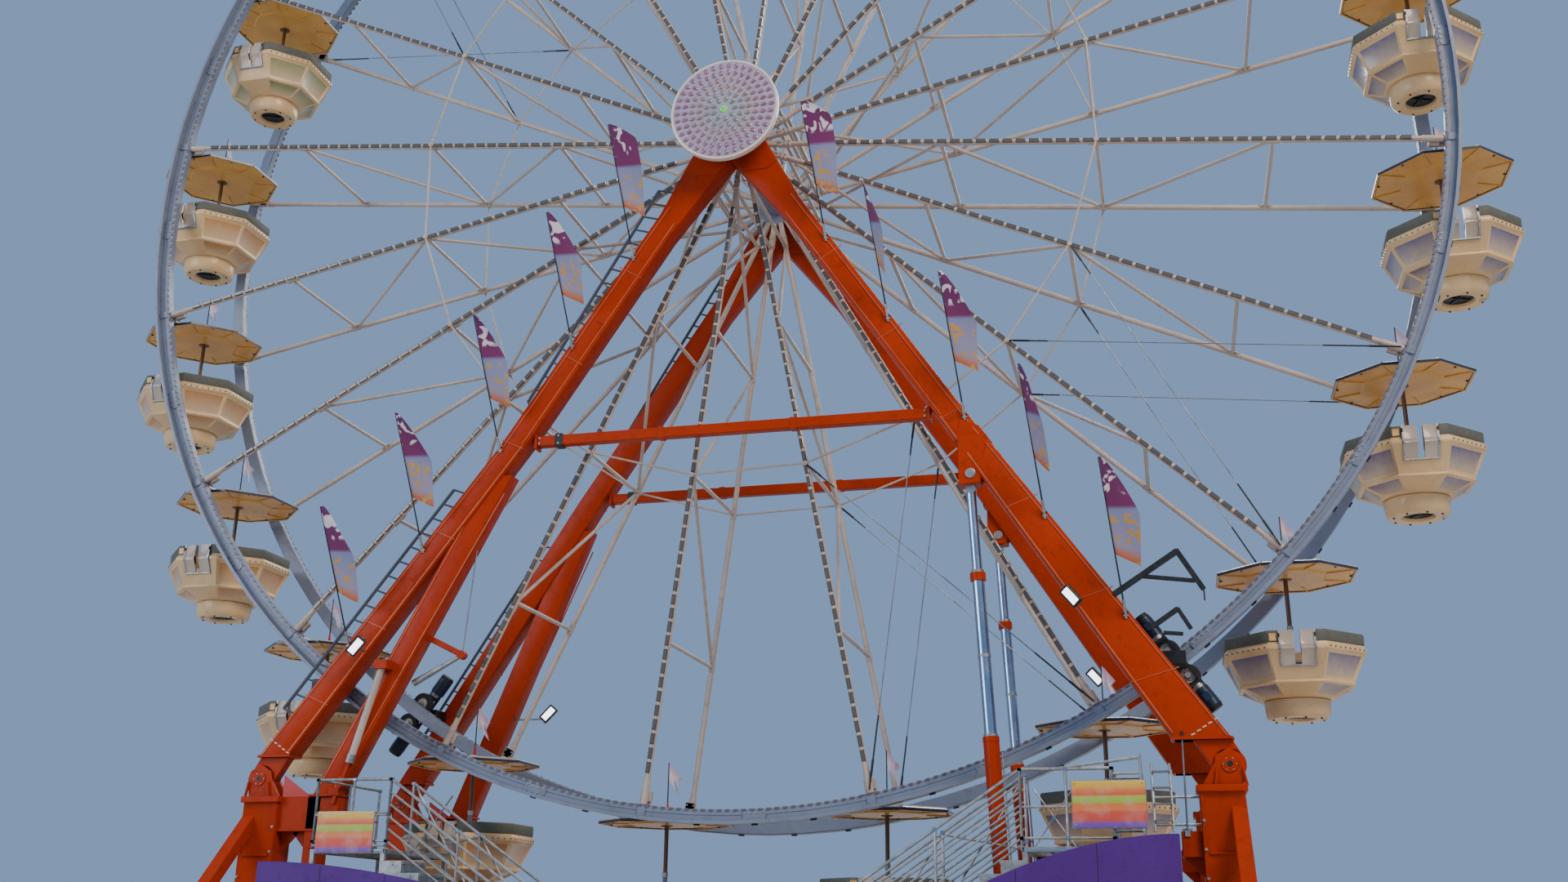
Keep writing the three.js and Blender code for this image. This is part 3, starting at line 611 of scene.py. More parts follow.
def onWheel(index):
    return move(0, 0, hubZ) @ turn(-spokeAngle(index), "Y")


def aboutHub(degrees):
    return move(0, 0, hubZ) @ turn(-degrees, "Y") @ move(0, 0, -hubZ)


def atAxle(index):
    return move(*onSpoke(index, wheel["rimRadius"]))


def numbered(name, index, ending):
    return f"{name}_{index + 1:02d}_{ending}"


# Gondolas, drawn about the axle
gondola = {
    "sides": 8,
    "cornerDeg": 22.5,
    "doorGap": 0.1,
    "doorFlare": 0.28,
    "doorSill": -1.70,
    "doorLeaf": 0.2,
    "sillRise": 0.16,
    "beltOut": 1.09,
    "beltDots": 8,
    "wallDeep": 0.022,
    "poleJoint": -0.95,
    "seatHeight": -1.66,
    "seatInner": 0.47,
    "drumHole": 0.235,
    "canopyInner": 0.62,
    "canopyReach": 1.05,
    "ribWidth": 0.02,
}
gondolaCorner = 1 / math.cos(math.pi / gondola["sides"])


def gondolaTub():
    g = gondola
    tub = loft(
        g["sides"],
        [(0.505, -2.145), (0.55, -2.13), (0.855, -1.97), (0.885, -1.96), (0.885, -1.935), (0.87, -1.92),
         (1.07, -1.485), (1.09, -1.465), (1.09, -1.405), (1.055, -1.385), (1.03, -1.18), (1.02, -1.172),
         (0.985, -1.172), (0.815, -1.94), (0.565, -2.07)],
        creamShell, g["cornerDeg"],
    )

    def isPanel(c, n, low, high):
        # an outer face between two heights that isn't one of the flats with doors
        outside = c.x * n.x + c.y * n.y > 0
        return low < c.z < high and outside and abs(n.y) < 0.85 * math.hypot(n.x, n.y)

    insetFaces(tub, lambda c, n: isPanel(c, n, -1.9, -1.5) and n.z < 0.1, 0.055, -g["wallDeep"], panelTints["orange"])
    insetFaces(tub, lambda c, n: isPanel(c, n, -2.1, -1.99), 0.035, -0.02)
    for face in tub.data.polygons:
        if face.select:
            face.material_index = 1
    fade = tub.data.attributes.new("fade", "FLOAT", "POINT")
    for vertex in tub.data.vertices:
        z = vertex.co.z
        low, high = (-2.13, -1.95) if z < -1.93 else (-1.93, -1.47)
        fade.data[vertex.index].value = min(max((z - low) / (high - low), 0.0), 1.0)
    half, flare, sill, rise = g["doorGap"] / 2, g["doorFlare"] / 2, g["doorSill"], g["sillRise"]
    doorway = [(-half, -1.0), (half, -1.0), (half, sill + rise), (flare, sill), (-flare, sill), (-half, sill + rise)]
    cutWith(tub, prism(doorway, -1.3, 1.3, creamShell))
    softEdges(tub, 0.006)
    # padded rim on the tub's edge, open at both doors
    pad = octRing(
        [(1.028, -1.36), (1.062, -1.35), (1.066, -1.19), (1.05, -1.165), (0.985, -1.165), (0.965, -1.19),
         (0.965, -1.33), (0.985, -1.34), (1.0, -1.19), (1.02, -1.19)],
        bandGrey,
    )
    cutWith(pad, block((-0.25, -1.3, -1.5), (0.25, 1.3, -1.0), bandGrey))
    return [tub, softEdges(pad, 0.008)]


def gondolaDoors():
    g = gondola
    half, wide, sill = g["doorGap"] / 2, g["doorLeaf"], g["doorSill"]
    wall = [(0.985, sill), (1.10, -1.465), (1.10, -1.40), (1.065, -1.165), (1.0, -1.165), (1.035, -1.42), (0.93, sill)]
    leaf = prism(wall, -half - wide, -half, doorGrey)
    leaf.data.transform(turn(90, "Z"))
    insetFaces(leaf, lambda c, n: n.y > 0.7 and c.z < -1.2, 0.022, -0.008)
    frame = prism([(y + 0.012, z) for y, z in wall], -half - wide - 0.03, -half - wide, zincSteel)
    frame.data.transform(turn(90, "Z"))
    sillBar = block((-0.28, 0.93, sill - 0.03), (0.28, 0.995, sill), zincSteel, 0.006)
    hingeX = half + wide + 0.02
    hinges = [rod((hingeX, 1.1, z - 0.03), (hingeX, 1.1, z + 0.03), 0.012, blackPlastic, 8) for z in (-1.25, -1.45)]
    side = repeated(joined([leaf, frame, *hinges], "doorSide"), [asItIs, flipX])
    return [repeated(joined([side, sillBar], "doors"), [asItIs, flipY])]


def gondolaInside():
    g = gondola
    inner, seat, joint = g["seatInner"], g["seatHeight"], g["poleJoint"]
    bench = joined([
        octRing([(inner, seat - 0.05), (0.86, seat - 0.05), (0.875, seat), (inner + 0.02, seat), (inner, seat - 0.015)],
                creamShell),
        octRing([(inner + 0.01, -2.07), (inner + 0.05, -2.07), (inner + 0.05, seat - 0.04), (inner + 0.01, seat - 0.04)],
                canopyTop),
    ], "bench")
    cutWith(bench, block((-0.27, -1.2, -2.2), (0.27, 1.2, -1.4), creamShell))
    softEdges(bench, 0.012, 2)
    tableWheel = [(0.045, -1.50), (0.05, -1.56), (0.19, -1.555), (0.21, -1.54), (0.21, -1.52), (0.19, -1.50)]
    sleeve = [(0.036, joint - 0.05), (0.049, joint - 0.04), (0.049, joint + 0.04), (0.036, joint + 0.05)]
    boot = [(0.038, -2.075), (0.13, -2.075), (0.12, -2.05), (0.07, -2.0), (0.06, -1.88), (0.038, -1.87)]
    return [
        bench,
        roundRing(tableWheel, poleBlue, 24),
        roundRing([(0.02, -2.08), (0.04, -2.08), (0.04, joint), (0.02, joint)], poleBlue, 16),
        roundRing([(0.02, joint), (0.037, joint), (0.037, -0.11), (0.02, -0.11)], poleBrown, 16),
        roundRing(sleeve, zincSteel, 16),
        roundRing(boot, blackRubber, 16),
    ]


def gondolaDrum():
    hole = gondola["drumHole"]
    drum = [(0.505, -2.15), (0.515, -2.20), (0.505, -2.33), (0.485, -2.40), (0.445, -2.435), (0.30, -2.44),
            (0.265, -2.425), (hole, -2.36), (hole, -2.15)]
    bearing = [(0.02, -2.2), (hole, -2.2), (0.25, -2.375), (0.225, -2.39), (0.20, -2.365), (0.07, -2.36),
               (0.055, -2.41), (0.02, -2.41)]
    arms = []
    for angle in (0.4, 0.4 + math.pi / 2):
        x, y = math.cos(angle) * hole, math.sin(angle) * hole
        arms.append(bar((x, y, -2.375), (-x, -y, -2.375), 0.035, 0.02, blackPlastic, side=(0, 0, 1)))
    return [
        roundRing(drum, creamShell, 40),
        roundRing([(0.505, -2.185), (0.527, -2.18), (0.527, -2.165), (0.505, -2.16)], creamShell, 40),
        roundRing(bearing, blackPlastic, 20),
        boltsAt([(x, y, -2.438) for x, y in around(8, 0.40, startDeg=11)], 0.016, blackPlastic, (0, 0, -1)),
        block((0.33, -0.06, -2.445), (0.43, 0.06, -2.43), doorGrey, 0.004),
        *arms,
    ]


def gondolaCanopy():
    g = gondola
    inner, reach = g["canopyInner"], g["canopyReach"]
    roof = loft(
        g["sides"],
        [(0.10, 0.035), (0.98, -0.045), (1.07, -0.055), (1.10, -0.07), (1.10, -0.118), (1.085, -0.125),
         (1.065, -0.12), (1.055, -0.10), (inner + 0.03, -0.096), (inner, -0.122), (0.12, -0.127)],
        canopyTan, g["cornerDeg"],
    )
    colourFaces(roof, lambda c, n: n.z > 0.25, canopyTop)
    colourFaces(roof, lambda c, n: abs(n.z) < 0.6 and math.hypot(c.x, c.y) > 1.0 and c.z < -0.06, navyTrim)
    softEdges(roof, 0.006)
    corners = [turn(g["cornerDeg"] + degrees, "Z") for degrees in eighths]
    rib = bar((inner * gondolaCorner, 0, -0.108), (reach * gondolaCorner, 0, -0.108), 0.022, g["ribWidth"], canopyTan,
              0.005)
    topRib = bar((0.12, 0, 0.044), ((reach + 0.01) * gondolaCorner, 0, -0.05), 0.03, 0.045, canopyTop, 0.008)
    clip = block((reach - 0.04, -0.012, -0.124), (reach, 0.012, -0.10), blackPlastic, 0.004)
    flange = [(0.036, -0.127), (0.11, -0.127), (0.105, -0.14), (0.05, -0.16), (0.036, -0.16)]
    parts = [
        roof,
        repeated(rib, corners),
        repeated(topRib, corners),
        repeated(clip, [turn(degrees, "Z") for degrees in eighths]),
        roundRing(flange, poleBrown, 16),
        smoothBy(rod((0, -1.2197, 0), (0, 1.2197, 0), 0.048, zincSteel, 16), 35),
        block((-0.09, -0.30, -0.03), (0.09, 0.30, 0.062), zincSteel, 0.012),
        rod((0, 0, 0.05), (0, 0, 0.27), 0.032, redPaint, 10, 0.016),
        rod((0, 0, 0.27), (0, 0, 0.957), 0.012, blackPlastic, 8, 0.009),
    ]
    for s in (-1, 1):
        parts.append(rod((0, s * 1.10, 0), (0, s * 1.155, 0), 0.085, blackPlastic, 16))
        parts.append(bar((0, s * 0.9, 0.055), (0, s * 1.14, 0.055), 0.10, 0.012, zincSteel, 0.004, side=(0, 0, 1)))
    return parts


def gondolaLamps():
    # one short row of lamp caps on each flat of the belt, except where the door leaves are
    out, count = gondola["beltOut"], gondola["beltDots"]
    cap = loft(6, [(0.014, 0.0), (0.013, 0.008), (0.006, 0.012)], ledSmoke)
    cap.data.transform(turn(90, "Y"))
    wide = out * math.tan(math.pi / gondola["sides"]) * 2 - 0.12
    row = repeated(cap, [move(out, wide * (i / (count - 1) - 0.5), -1.432) for i in range(count)])
    return [repeated(row, [turn(eighths[i], "Z") for i in (0, 1, 3, 4, 5, 7)])]


def numberPlate():
    plate = block((0.31, 1.035, -1.335), (0.42, 1.075, -1.215), canopyTan, 0.006)
    insetFaces(plate, lambda c, n: n.y > 0.9, 0.012, -0.003, creamShell)
    return repeated(plate, [asItIs, flipX @ flipY])


gondolaParts = {
    "tub": smoothBy(joined(gondolaTub() + gondolaDoors() + gondolaLamps() + [numberPlate()], "tub")),
    "seats": joined(gondolaInside(), "seats"),
    "drum": joined(gondolaDrum(), "drum"),
    "canopy": joined(gondolaCanopy(), "canopy"),
}
panelPlace = list(gondolaParts["tub"].data.materials).index(panelTints["orange"])
for index in bays:
    for ending, source in gondolaParts.items():
        piece = copyOf(source, numbered("gondola", index, ending), atAxle(index))
        if ending == "tub":
            piece.data.materials[panelPlace] = panelTints["orange" if index < 7 else "violet" if index < 13 else "green"]
        fitOn(piece, f"cabin_{index + 1:02d}", "gondola_shell", f"gondola_{index + 1:02d}")
useUp(*gondolaParts.values())
print("gondolas made")


# Cloth: a grid of points bent in code, given its thickness and its own UV map
def clothFrom(name, across, down, place, material, thick=0.003):
    clearSelection()
    bpy.ops.mesh.primitive_grid_add(x_subdivisions=across, y_subdivisions=down, size=1)
    obj = bpy.context.object
    for vertex in obj.data.vertices:
        vertex.co = place(vertex.co.x + 0.5, vertex.co.y + 0.5)
    finishWith(obj, "SOLIDIFY", thickness=thick, offset=0)
    smoothBy(obj, 60)
    obj.name = name
    obj.data.name = name
    return paint(obj, material)


pennant = {"hoist": 0.32, "fly": 0.36, "notch": 0.14, "staff": 0.012, "top": 0.945, "droopDeg": 50, "wave": 0.04}
pennantCloth = clothFinish("lilacFlagCloth", [(0.0, "#c7bcd6"), (0.45, "#d9cfdc"), (0.8, "#c9a7b6"), (1.0, "#b99bc4")])


def pennantPlace(phase):
    p = pennant

    def place(u, v):
        # u runs along the fly and v up the hoist; the notch shortens the middle of the fly
        reach = u * (p["fly"] - p["notch"] * (1 - abs(2 * v - 1)))
        droop = math.radians(p["droopDeg"]) * min(1, 0.75 + 0.5 * u)
        x = p["staff"] + reach * math.cos(droop)
        z = p["top"] - p["hoist"] * (1 - v) - reach * math.sin(droop)
        return (x, p["wave"] * u * math.sin(8.0 * u + 3.0 * v + phase), z)

    return place


for index in bays:
    cloth = clothFrom(numbered("gondola", index, "pennant"), 11, 8, pennantPlace(index * 1.7), pennantCloth, 0.002)
    cloth.data.transform(atAxle(index) @ turn((index * 37) % 50 - 25, "Z"))
    fitOn(cloth, f"cabin_{index + 1:02d}", "gondola_shell", f"gondola_{index + 1:02d}")
    area = pennant["hoist"] * (pennant["fly"] - pennant["notch"] / 2)
print("pennants made")


# Spokes, drawn along +X at the hub's height
spoke = {
    "chordRadius": 0.05,
    "webRadius": 0.036,
    "from": 0.781,
    "to": 12.375,
    "struts": (9.625, 6.625, 3.813),
    "innerStrut": 0.98,
    "diagonals": ((6.68, 9.57, 1), (3.87, 6.57, -1), (1.03, 3.76, 1)),
    "plateFrom": 12.13,
    "lampFrom": 1.35,
    "lampTo": 12.05,
    "lampPitch": 0.24,
    "lampLong": 0.18,
}


def makeSpokeTruss():
    s, y, r = spoke, wheel["planeY"], wheel["rimRadius"]
    half = [
        rod((s["from"], -y, 0), (s["to"], -y, 0), s["chordRadius"], spokePaint, 16),
        rod((12.02, -y, 0), (12.36, -y, 0), 0.062, spokePaint, 16),
        block((s["from"], -y - 0.056, -0.056), (0.96, -y + 0.056, 0.056), spokePaint, 0.008),
        boltsAt([(x, -y - 0.056, z) for x in (0.83, 0.91) for z in (-0.03, 0.03)], 0.012, zincSteel),
    ]
    # plate and bearing boss for the gondola's axle
    start = s["plateFrom"]
    plate = prism(
        [(start, -0.095), (r + 0.02, -0.095), (r + 0.095, -0.05), (r + 0.095, 0.05), (r + 0.02, 0.095), (start, 0.095)],
        -1.219, -1.17, spokePaint, 0.006,
    )
    boss = [(0.0535, -1.219), (0.0535, -1.163), (0.075, -1.163), (0.082, -1.172), (0.082, -1.219)]
    half += [
        cutWith(plate, rod((r, -1.3, 0), (r, -1.1, 0), 0.0545, spokePaint, 20)),
        spunAbout(r, 0, boss, 20, zincSteel),
        block((start, -1.262, -0.095), (12.31, -1.17, 0.095), spokePaint, 0.01),
        boltsAt([(x, -1.17, z) for x in (12.18, 12.27) for z in (-0.06, 0.06)], 0.013, zincSteel, (0, 1, 0)),
    ]
    for x in s["struts"]:
        half.append(rod((x - 0.09, -y, 0), (x + 0.09, -y, 0), 0.058, spokePaint, 16))
        outline = [(x - 0.16, 0.045), (x + 0.16, 0.045), (x + 0.05, -0.045), (x - 0.05, -0.045)]
        gusset = prism(outline, -0.006, 0.006, spokePaint)
        gusset.data.transform(move(0, -y + 0.085, 0) @ turn(-90, "X"))
        half.append(gusset)
    near, w = y - 0.045, s["webRadius"]
    webs = rods(spokePaint, 12, *[((x, -near, 0), (x, near, 0), w) for x in (*s["struts"], s["innerStrut"])])
    webs += rods(spokePaint, 12, *[((a, flip * near, 0), (b, -flip * near, 0), w * 0.9) for a, b, flip in s["diagonals"]])
    return smoothBy(joined([repeated(joined(half, "half"), [asItIs, flipY]), *webs], "truss"), 35)


def makeSpokeLamps():
    # moulded lamp bars in a row on the front tube
    s = spoke
    body = block((0, -0.036, -0.026), (s["lampLong"], 0.036, 0.014), ledDark)
    body.data.transform(turn(90, "X"))
    insetFaces(body, facesFront, 0.010, 0.006, ledSmoke)
    y = -wheel["planeY"] - s["chordRadius"] - 0.004
    count = int((s["lampTo"] - s["lampFrom"]) / s["lampPitch"])
    lamps = repeated(body, [move(s["lampFrom"] + s["lampPitch"] * i, y, 0) for i in range(count)])
    rail = block((s["lampFrom"] - 0.1, y - 0.002, -0.014), (s["lampTo"] + 0.1, y + 0.012, 0.014), boardEdge)
    return joined([lamps, rail], "lamps")


trussParts = makeSpokeTruss()
lampParts = makeSpokeLamps()
for index in bays:
    node = f"spoke_{index + 1:02d}"
    truss = onWheel(index) @ flipY if index % 2 else onWheel(index)  # every second one slopes the other way
    fitOn(copyOf(trussParts, numbered("spoke", index, "truss"), truss), "wheel", "spoke_enamel", node)
    fitOn(copyOf(lampParts, numbered("spoke", index, "lamps"), onWheel(index)), "wheel", "lamp_board", node)
useUp(trussParts, lampParts)
print("spokes made")


# Rims, inner rings and hub
rimShape = {"segments": 120, "lugPitch": 0.14, "gripStepsDeg": (4.5, 9, 13.5), "spliceDeg": 9}
innerRing = {"y": 1.3803, "radius": 6.625, "cableBays": (6, 8, 16, 18), "cableEnd": 0.18}


def makeRim(side, name):
    r, y = wheel["rimRadius"], side * wheel["planeY"]
    face = y + side * 0.08

    def ring(points):
        return spunAbout(0, hubZ, [(r + out, y + side * deep) for out, deep in points], rimShape["segments"], rimPaint)

    def plate(low, high, nearY, farY, halfLong, material, edge=0.0):
        # a block on the rim where a spoke would lie along +X
        return block((r + low, nearY, hubZ - halfLong), (r + high, farY, hubZ + halfLong), material, edge)

    def bolts(y, places, size, facing):
        return boltsAt([(r + x, y + dy, hubZ + z) for x, dy, z in places], size, zincSteel, facing)

    def atBays(piece, *steps):
        return repeated(piece, [aboutHub(spokeAngle(i) + step) for i in bays for step in steps])

    box = ring([(-0.105, -0.08), (0.105, -0.08), (0.12, -0.065), (0.12, 0.065), (0.105, 0.08), (0.03, 0.08),
                (0.024, 0.07), (-0.024, 0.07), (-0.03, 0.08), (-0.105, 0.08), (-0.12, 0.065), (-0.12, -0.065)])
    rail = ring([(0.098, 0.06), (0.12, 0.06), (0.12, 0.21), (0.064, 0.21), (0.064, 0.195), (0.098, 0.19)])
    # small dark lugs in a row along the edge next to the rail
    count = int(2 * math.pi * (r - 0.1) / rimShape["lugPitch"])
    lug = plate(-0.128, -0.098, face, face + side * 0.02, 0.035, lugPaint)
    lugs = repeated(lug, [aboutHub(360 * i / count) for i in range(count)])
    # splice plates half way between the spokes, and the clamps that hold a spoke's end
    splice = joined([
        plate(-0.085, 0.085, face - 0.012, face + 0.012, 0.2, rimPaint, 0.006),
        bolts(face + side * 0.012, [(x, 0, z) for x in (-0.055, 0.055) for z in (-0.15, -0.05, 0.05, 0.15)], 0.014,
              (0, side, 0)),
    ], "splice")
    splices = atBays(splice, rimShape["spliceDeg"])
    gripY = face - side * 0.02
    grips = atBays(plate(0.112, 0.142, gripY - 0.03, gripY + 0.03, 0.05, blackPlastic, 0.006), *rimShape["gripStepsDeg"])
    forward = 0.01 if side < 0 else 0
    clamp = joined([
        plate(-0.128, -0.118, y - 0.088, y + 0.088, 0.14, rimPaint, 0.003),
        bolts(y, [(-0.128, dy, z) for dy in (-0.055, 0.055) for z in (-0.1, 0.1)], 0.012, (-1, 0, 0)),
        plate(-0.09, 0.09, face - 0.01 - forward, face + 0.02 - forward, 0.075, rimPaint, 0.012),
    ], "clamp")
    return joined([box, rail, lugs, splices, atBays(clamp, 0), grips], name)


def makeInnerRing(side, name):
    y, radius = side * innerRing["y"], innerRing["radius"]
    corners = [onSpoke(i, radius, y) for i in bays]
    parts = rods(spokePaint, 12, *[(a, b, 0.019) for a, b in zip(corners, corners[1:] + corners[:1])])
    clevis = [(0.005, -0.03), (0.038, -0.03), (0.046, -0.02), (0.046, 0.02), (0.038, 0.03), (0.005, 0.03)]
    parts.append(repeated(spunAbout(0, 0, clevis, 14, spokePaint), [move(*corner) for corner in corners]))
    for bay in innerRing["cableBays"]:
        for inner, outer in ((bay, bay + 1), (bay + 1, bay)):
            start = Vector(onSpoke(inner, radius, y))
            stop = Vector(onSpoke(outer, wheel["rimRadius"] - innerRing["cableEnd"], y))
            along = (stop - start).normalized()
            parts.append(rod(start, stop, 0.009, cableSteel, 8))
            for at in (start + along * 0.25, stop - along * 0.35):
                parts.append(rod(at - along * 0.14, at + along * 0.14, 0.020, blackPlastic, 10))
                parts.append(rod(at - along * 0.20, at + along * 0.20, 0.013, zincSteel, 8))
            parts += rods(blackPlastic, 8, (start, start + along * 0.7, 0.0145), (stop - along * 1.2, stop, 0.0145))
    return smoothBy(joined(parts, name), 35)


def makeHub(name):
    def ring(points, material):
        return spunAbout(0, hubZ, points, 48, material)

    def band(low, high, inner, outer, material):
        return ring([(inner, low), (outer, low), (outer, high), (inner, high)], material)

    arm = joined([
        *blocks(spokePaint, ((0.33, -1.349, -0.049), (0.7797, -1.251, 0.049), 0.006),
                ((0.69, -1.362, -0.056), (0.7797, -1.238, 0.056), 0.006)),
        boltsAt([(x, -1.362, 0.0) for x in (0.715, 0.755)], 0.014, zincSteel),
    ], "hubArm")
    plateBolts = [(x, -1.355, z) for x, z in around(20, 0.375, (0, hubZ), wheel["firstDeg"] + 9)]
    side = joined([
        ring([(0.20, -1.355), (0.41, -1.355), (0.43, -1.345), (0.43, -1.255), (0.41, -1.245), (0.20, -1.245)], rimPaint),
        repeated(arm, [onWheel(i) for i in bays]),
        boltsAt(plateBolts, 0.018, zincSteel),
        ring([(0.10, -1.355), (0.29, -1.355), (0.29, -1.40), (0.27, -1.43), (0.10, -1.43)], rimPaint),
        ring([(0.10, -1.42), (0.235, -1.42), (0.235, -1.698), (0.10, -1.698)], zincSteel),
    ], "hubSide")
    return joined([
        band(-1.25, 1.25, 0.10, 0.25, rimPaint),
        repeated(side, [asItIs, flipY]),
        ring([(0.05, -1.69), (0.168, -1.69), (0.168, -2.498), (0.05, -2.498)], brightSteel),
        ring([(0.05, 1.69), (0.168, 1.69), (0.168, 2.27), (0.15, 2.30), (0.05, 2.308)], brightSteel),
        band(2.13, 2.2, 0.166, 0.235, zincSteel),
        *[band(y - 0.05, y + 0.05, 0.24, 0.275, rimPaint) for y in (-0.6, 0.0, 0.6)],
    ], name)


for side, place in ((-1, "front"), (1, "rear")):
    fitOn(makeRim(side, place + "_rim_beam"), "wheel", "rim_paint", place + "_rim")
for side, place in ((-1, "front"), (1, "rear")):
    fitOn(makeInnerRing(side, place + "_inner_ring_tubes"), "wheel", "steel", place + "_inner_ring")
fitOn(makeHub("hub_drum"), "wheel", "rim_paint", "hub")
print("rims, rings and hub made")


# Light disc on the shaft's front end
disc = {
    "back": -2.50,
    "front": -2.615,
    "rings": ((0.90, 38), (0.755, 34), (0.615, 28), (0.475, 22), (0.34, 15), (0.205, 9)),
    "colours": ("#8a4a72", "#85406c", "#8e5a62", "#8a6a58", "#6c7a62", "#4f8068"),
    "squash": 0.66,
}


def makeLightDisc():
    back, front = disc["back"], disc["front"]

    def ring(points, material):
        return spunAbout(0, hubZ, points, 64, material)

    rib = block((0.2, back, -0.02), (0.97, back + 0.022, 0.02), boardEdge, 0.004)
    parts = [
        ring([(0.03, back), (0.98, back), (0.99, -2.52), (0.99, front + 0.01), (0.97, front), (0.03, front)], boardLilac),
        ring([(0.975, -2.505), (1.015, -2.505), (1.02, -2.515), (1.02, -2.612), (1.01, -2.622), (0.985, -2.622),
              (0.975, -2.61)], discEdge),
        repeated(rib, [move(0, 0, hubZ) @ turn(degrees, "Y") for degrees in eighths]),
    ]
    for (radius, count), colour in zip(disc["rings"], disc["colours"]):
        material = lampLens(f"lampCap{int(radius * 1000)}", colour, pale="#b8a8b4")
        cap = loft(8, [(0.056, 0.0), (0.052, 0.014), (0.030, 0.028)], material)
        cap.data.transform(turn(90, "X") @ Matrix.Scale(disc["squash"], 4, (0, 1, 0)))
        circle = [move(0, front, hubZ) @ turn(-360 * i / count, "Y") @ move(radius, 0, 0) for i in range(count)]
        parts.append(repeated(cap, circle))
    centreLamp = [(0.015, front), (0.075, front), (0.065, front - 0.02), (0.015, front - 0.028)]
    parts.append(ring(centreLamp, lampLens("greenCentreLamp", "#3ecb3a", glow=0.4)))
    return smoothBy(joined(parts, "light_disc_board"), 35)


fitOn(makeLightDisc(), "wheel", "lamp_board", "light_disc")
print("light disc made")


# Support frames, drawn for the right front and mirrored from there
frameLeg = {
    "headY": 1.9,
    "footY": 2.45,
    "neck": (1.33, 14.18),
    "throat": (1.14, 13.72),
    "kneeZ": 9.85,
    "kneeOut": 4.22,
    "kneeIn": 3.71,
    "footZ": 4.36,
    "footOut": 8.0,
    "half": 0.2,
    "seam": 0.0005,
    "hinge": (7.93, 4.0),
    "welds": (13.0, 11.4, 9.85, 8.2, 6.6, 5.3),
    "accessPlates": (12.2, 7.3),
    "bannerFeet": (13.3, 11.65, 9.75, 7.93, 6.24),
    "bannerLean": (-0.1, -0.4, 0.91),
    "driveDeg": -54.5,
}
hingeX, hingeZ = frameLeg["hinge"]


def sloped(z, topX, topZ, lowX, lowZ):
    # Where a straight edge between two points is at a height
    return topX + (lowX - topX) * (topZ - z) / (topZ - lowZ)


def legDepth(z):
    leg = frameLeg
    return -leg["headY"] - max(0.0, leg["kneeZ"] - z) * (leg["footY"] - leg["headY"]) / (leg["kneeZ"] - leg["footZ"])


def legOuter(z):
    leg = frameLeg
    if z > leg["kneeZ"]:
        return sloped(z, *leg["neck"], leg["kneeOut"], leg["kneeZ"])
    return sloped(z, leg["kneeOut"], leg["kneeZ"], leg["footOut"], leg["footZ"])


def leanedPrism(outline, nearY, farY, edge):
    # A plate in the upper frame's plane whose part below the knee follows the leaning leg
    obj = prism(outline, nearY, farY, orangePaint)
    editAll(obj)
    bpy.ops.mesh.bisect(plane_co=(0, 0, frameLeg["kneeZ"]), plane_no=(0, 0, 1))
    leaveEdit()
    for vertex in obj.data.vertices:
        vertex.co.y += legDepth(vertex.co.z) + frameLeg["headY"]
    return softEdges(obj, edge, 2)


def edgeStrip(start, end, front, width=0.022, proud=0.012):
    # Weld bead and cover strip along a leg's edge, on its front face; its paler orange is a painted highlight on the
    # edge
    (x0, z0), (x1, z1) = start, end
    return bar((x0, legDepth(z0) - front, z0), (x1, legDepth(z1) - front, z1), width, proud * 2, highlightOrangeEdge, 0.004)


def bored(obj, nearY, farY, radius):
    return cutWith(obj, rod((0, nearY, hubZ), (0, farY, hubZ), radius, orangePaint, 32))


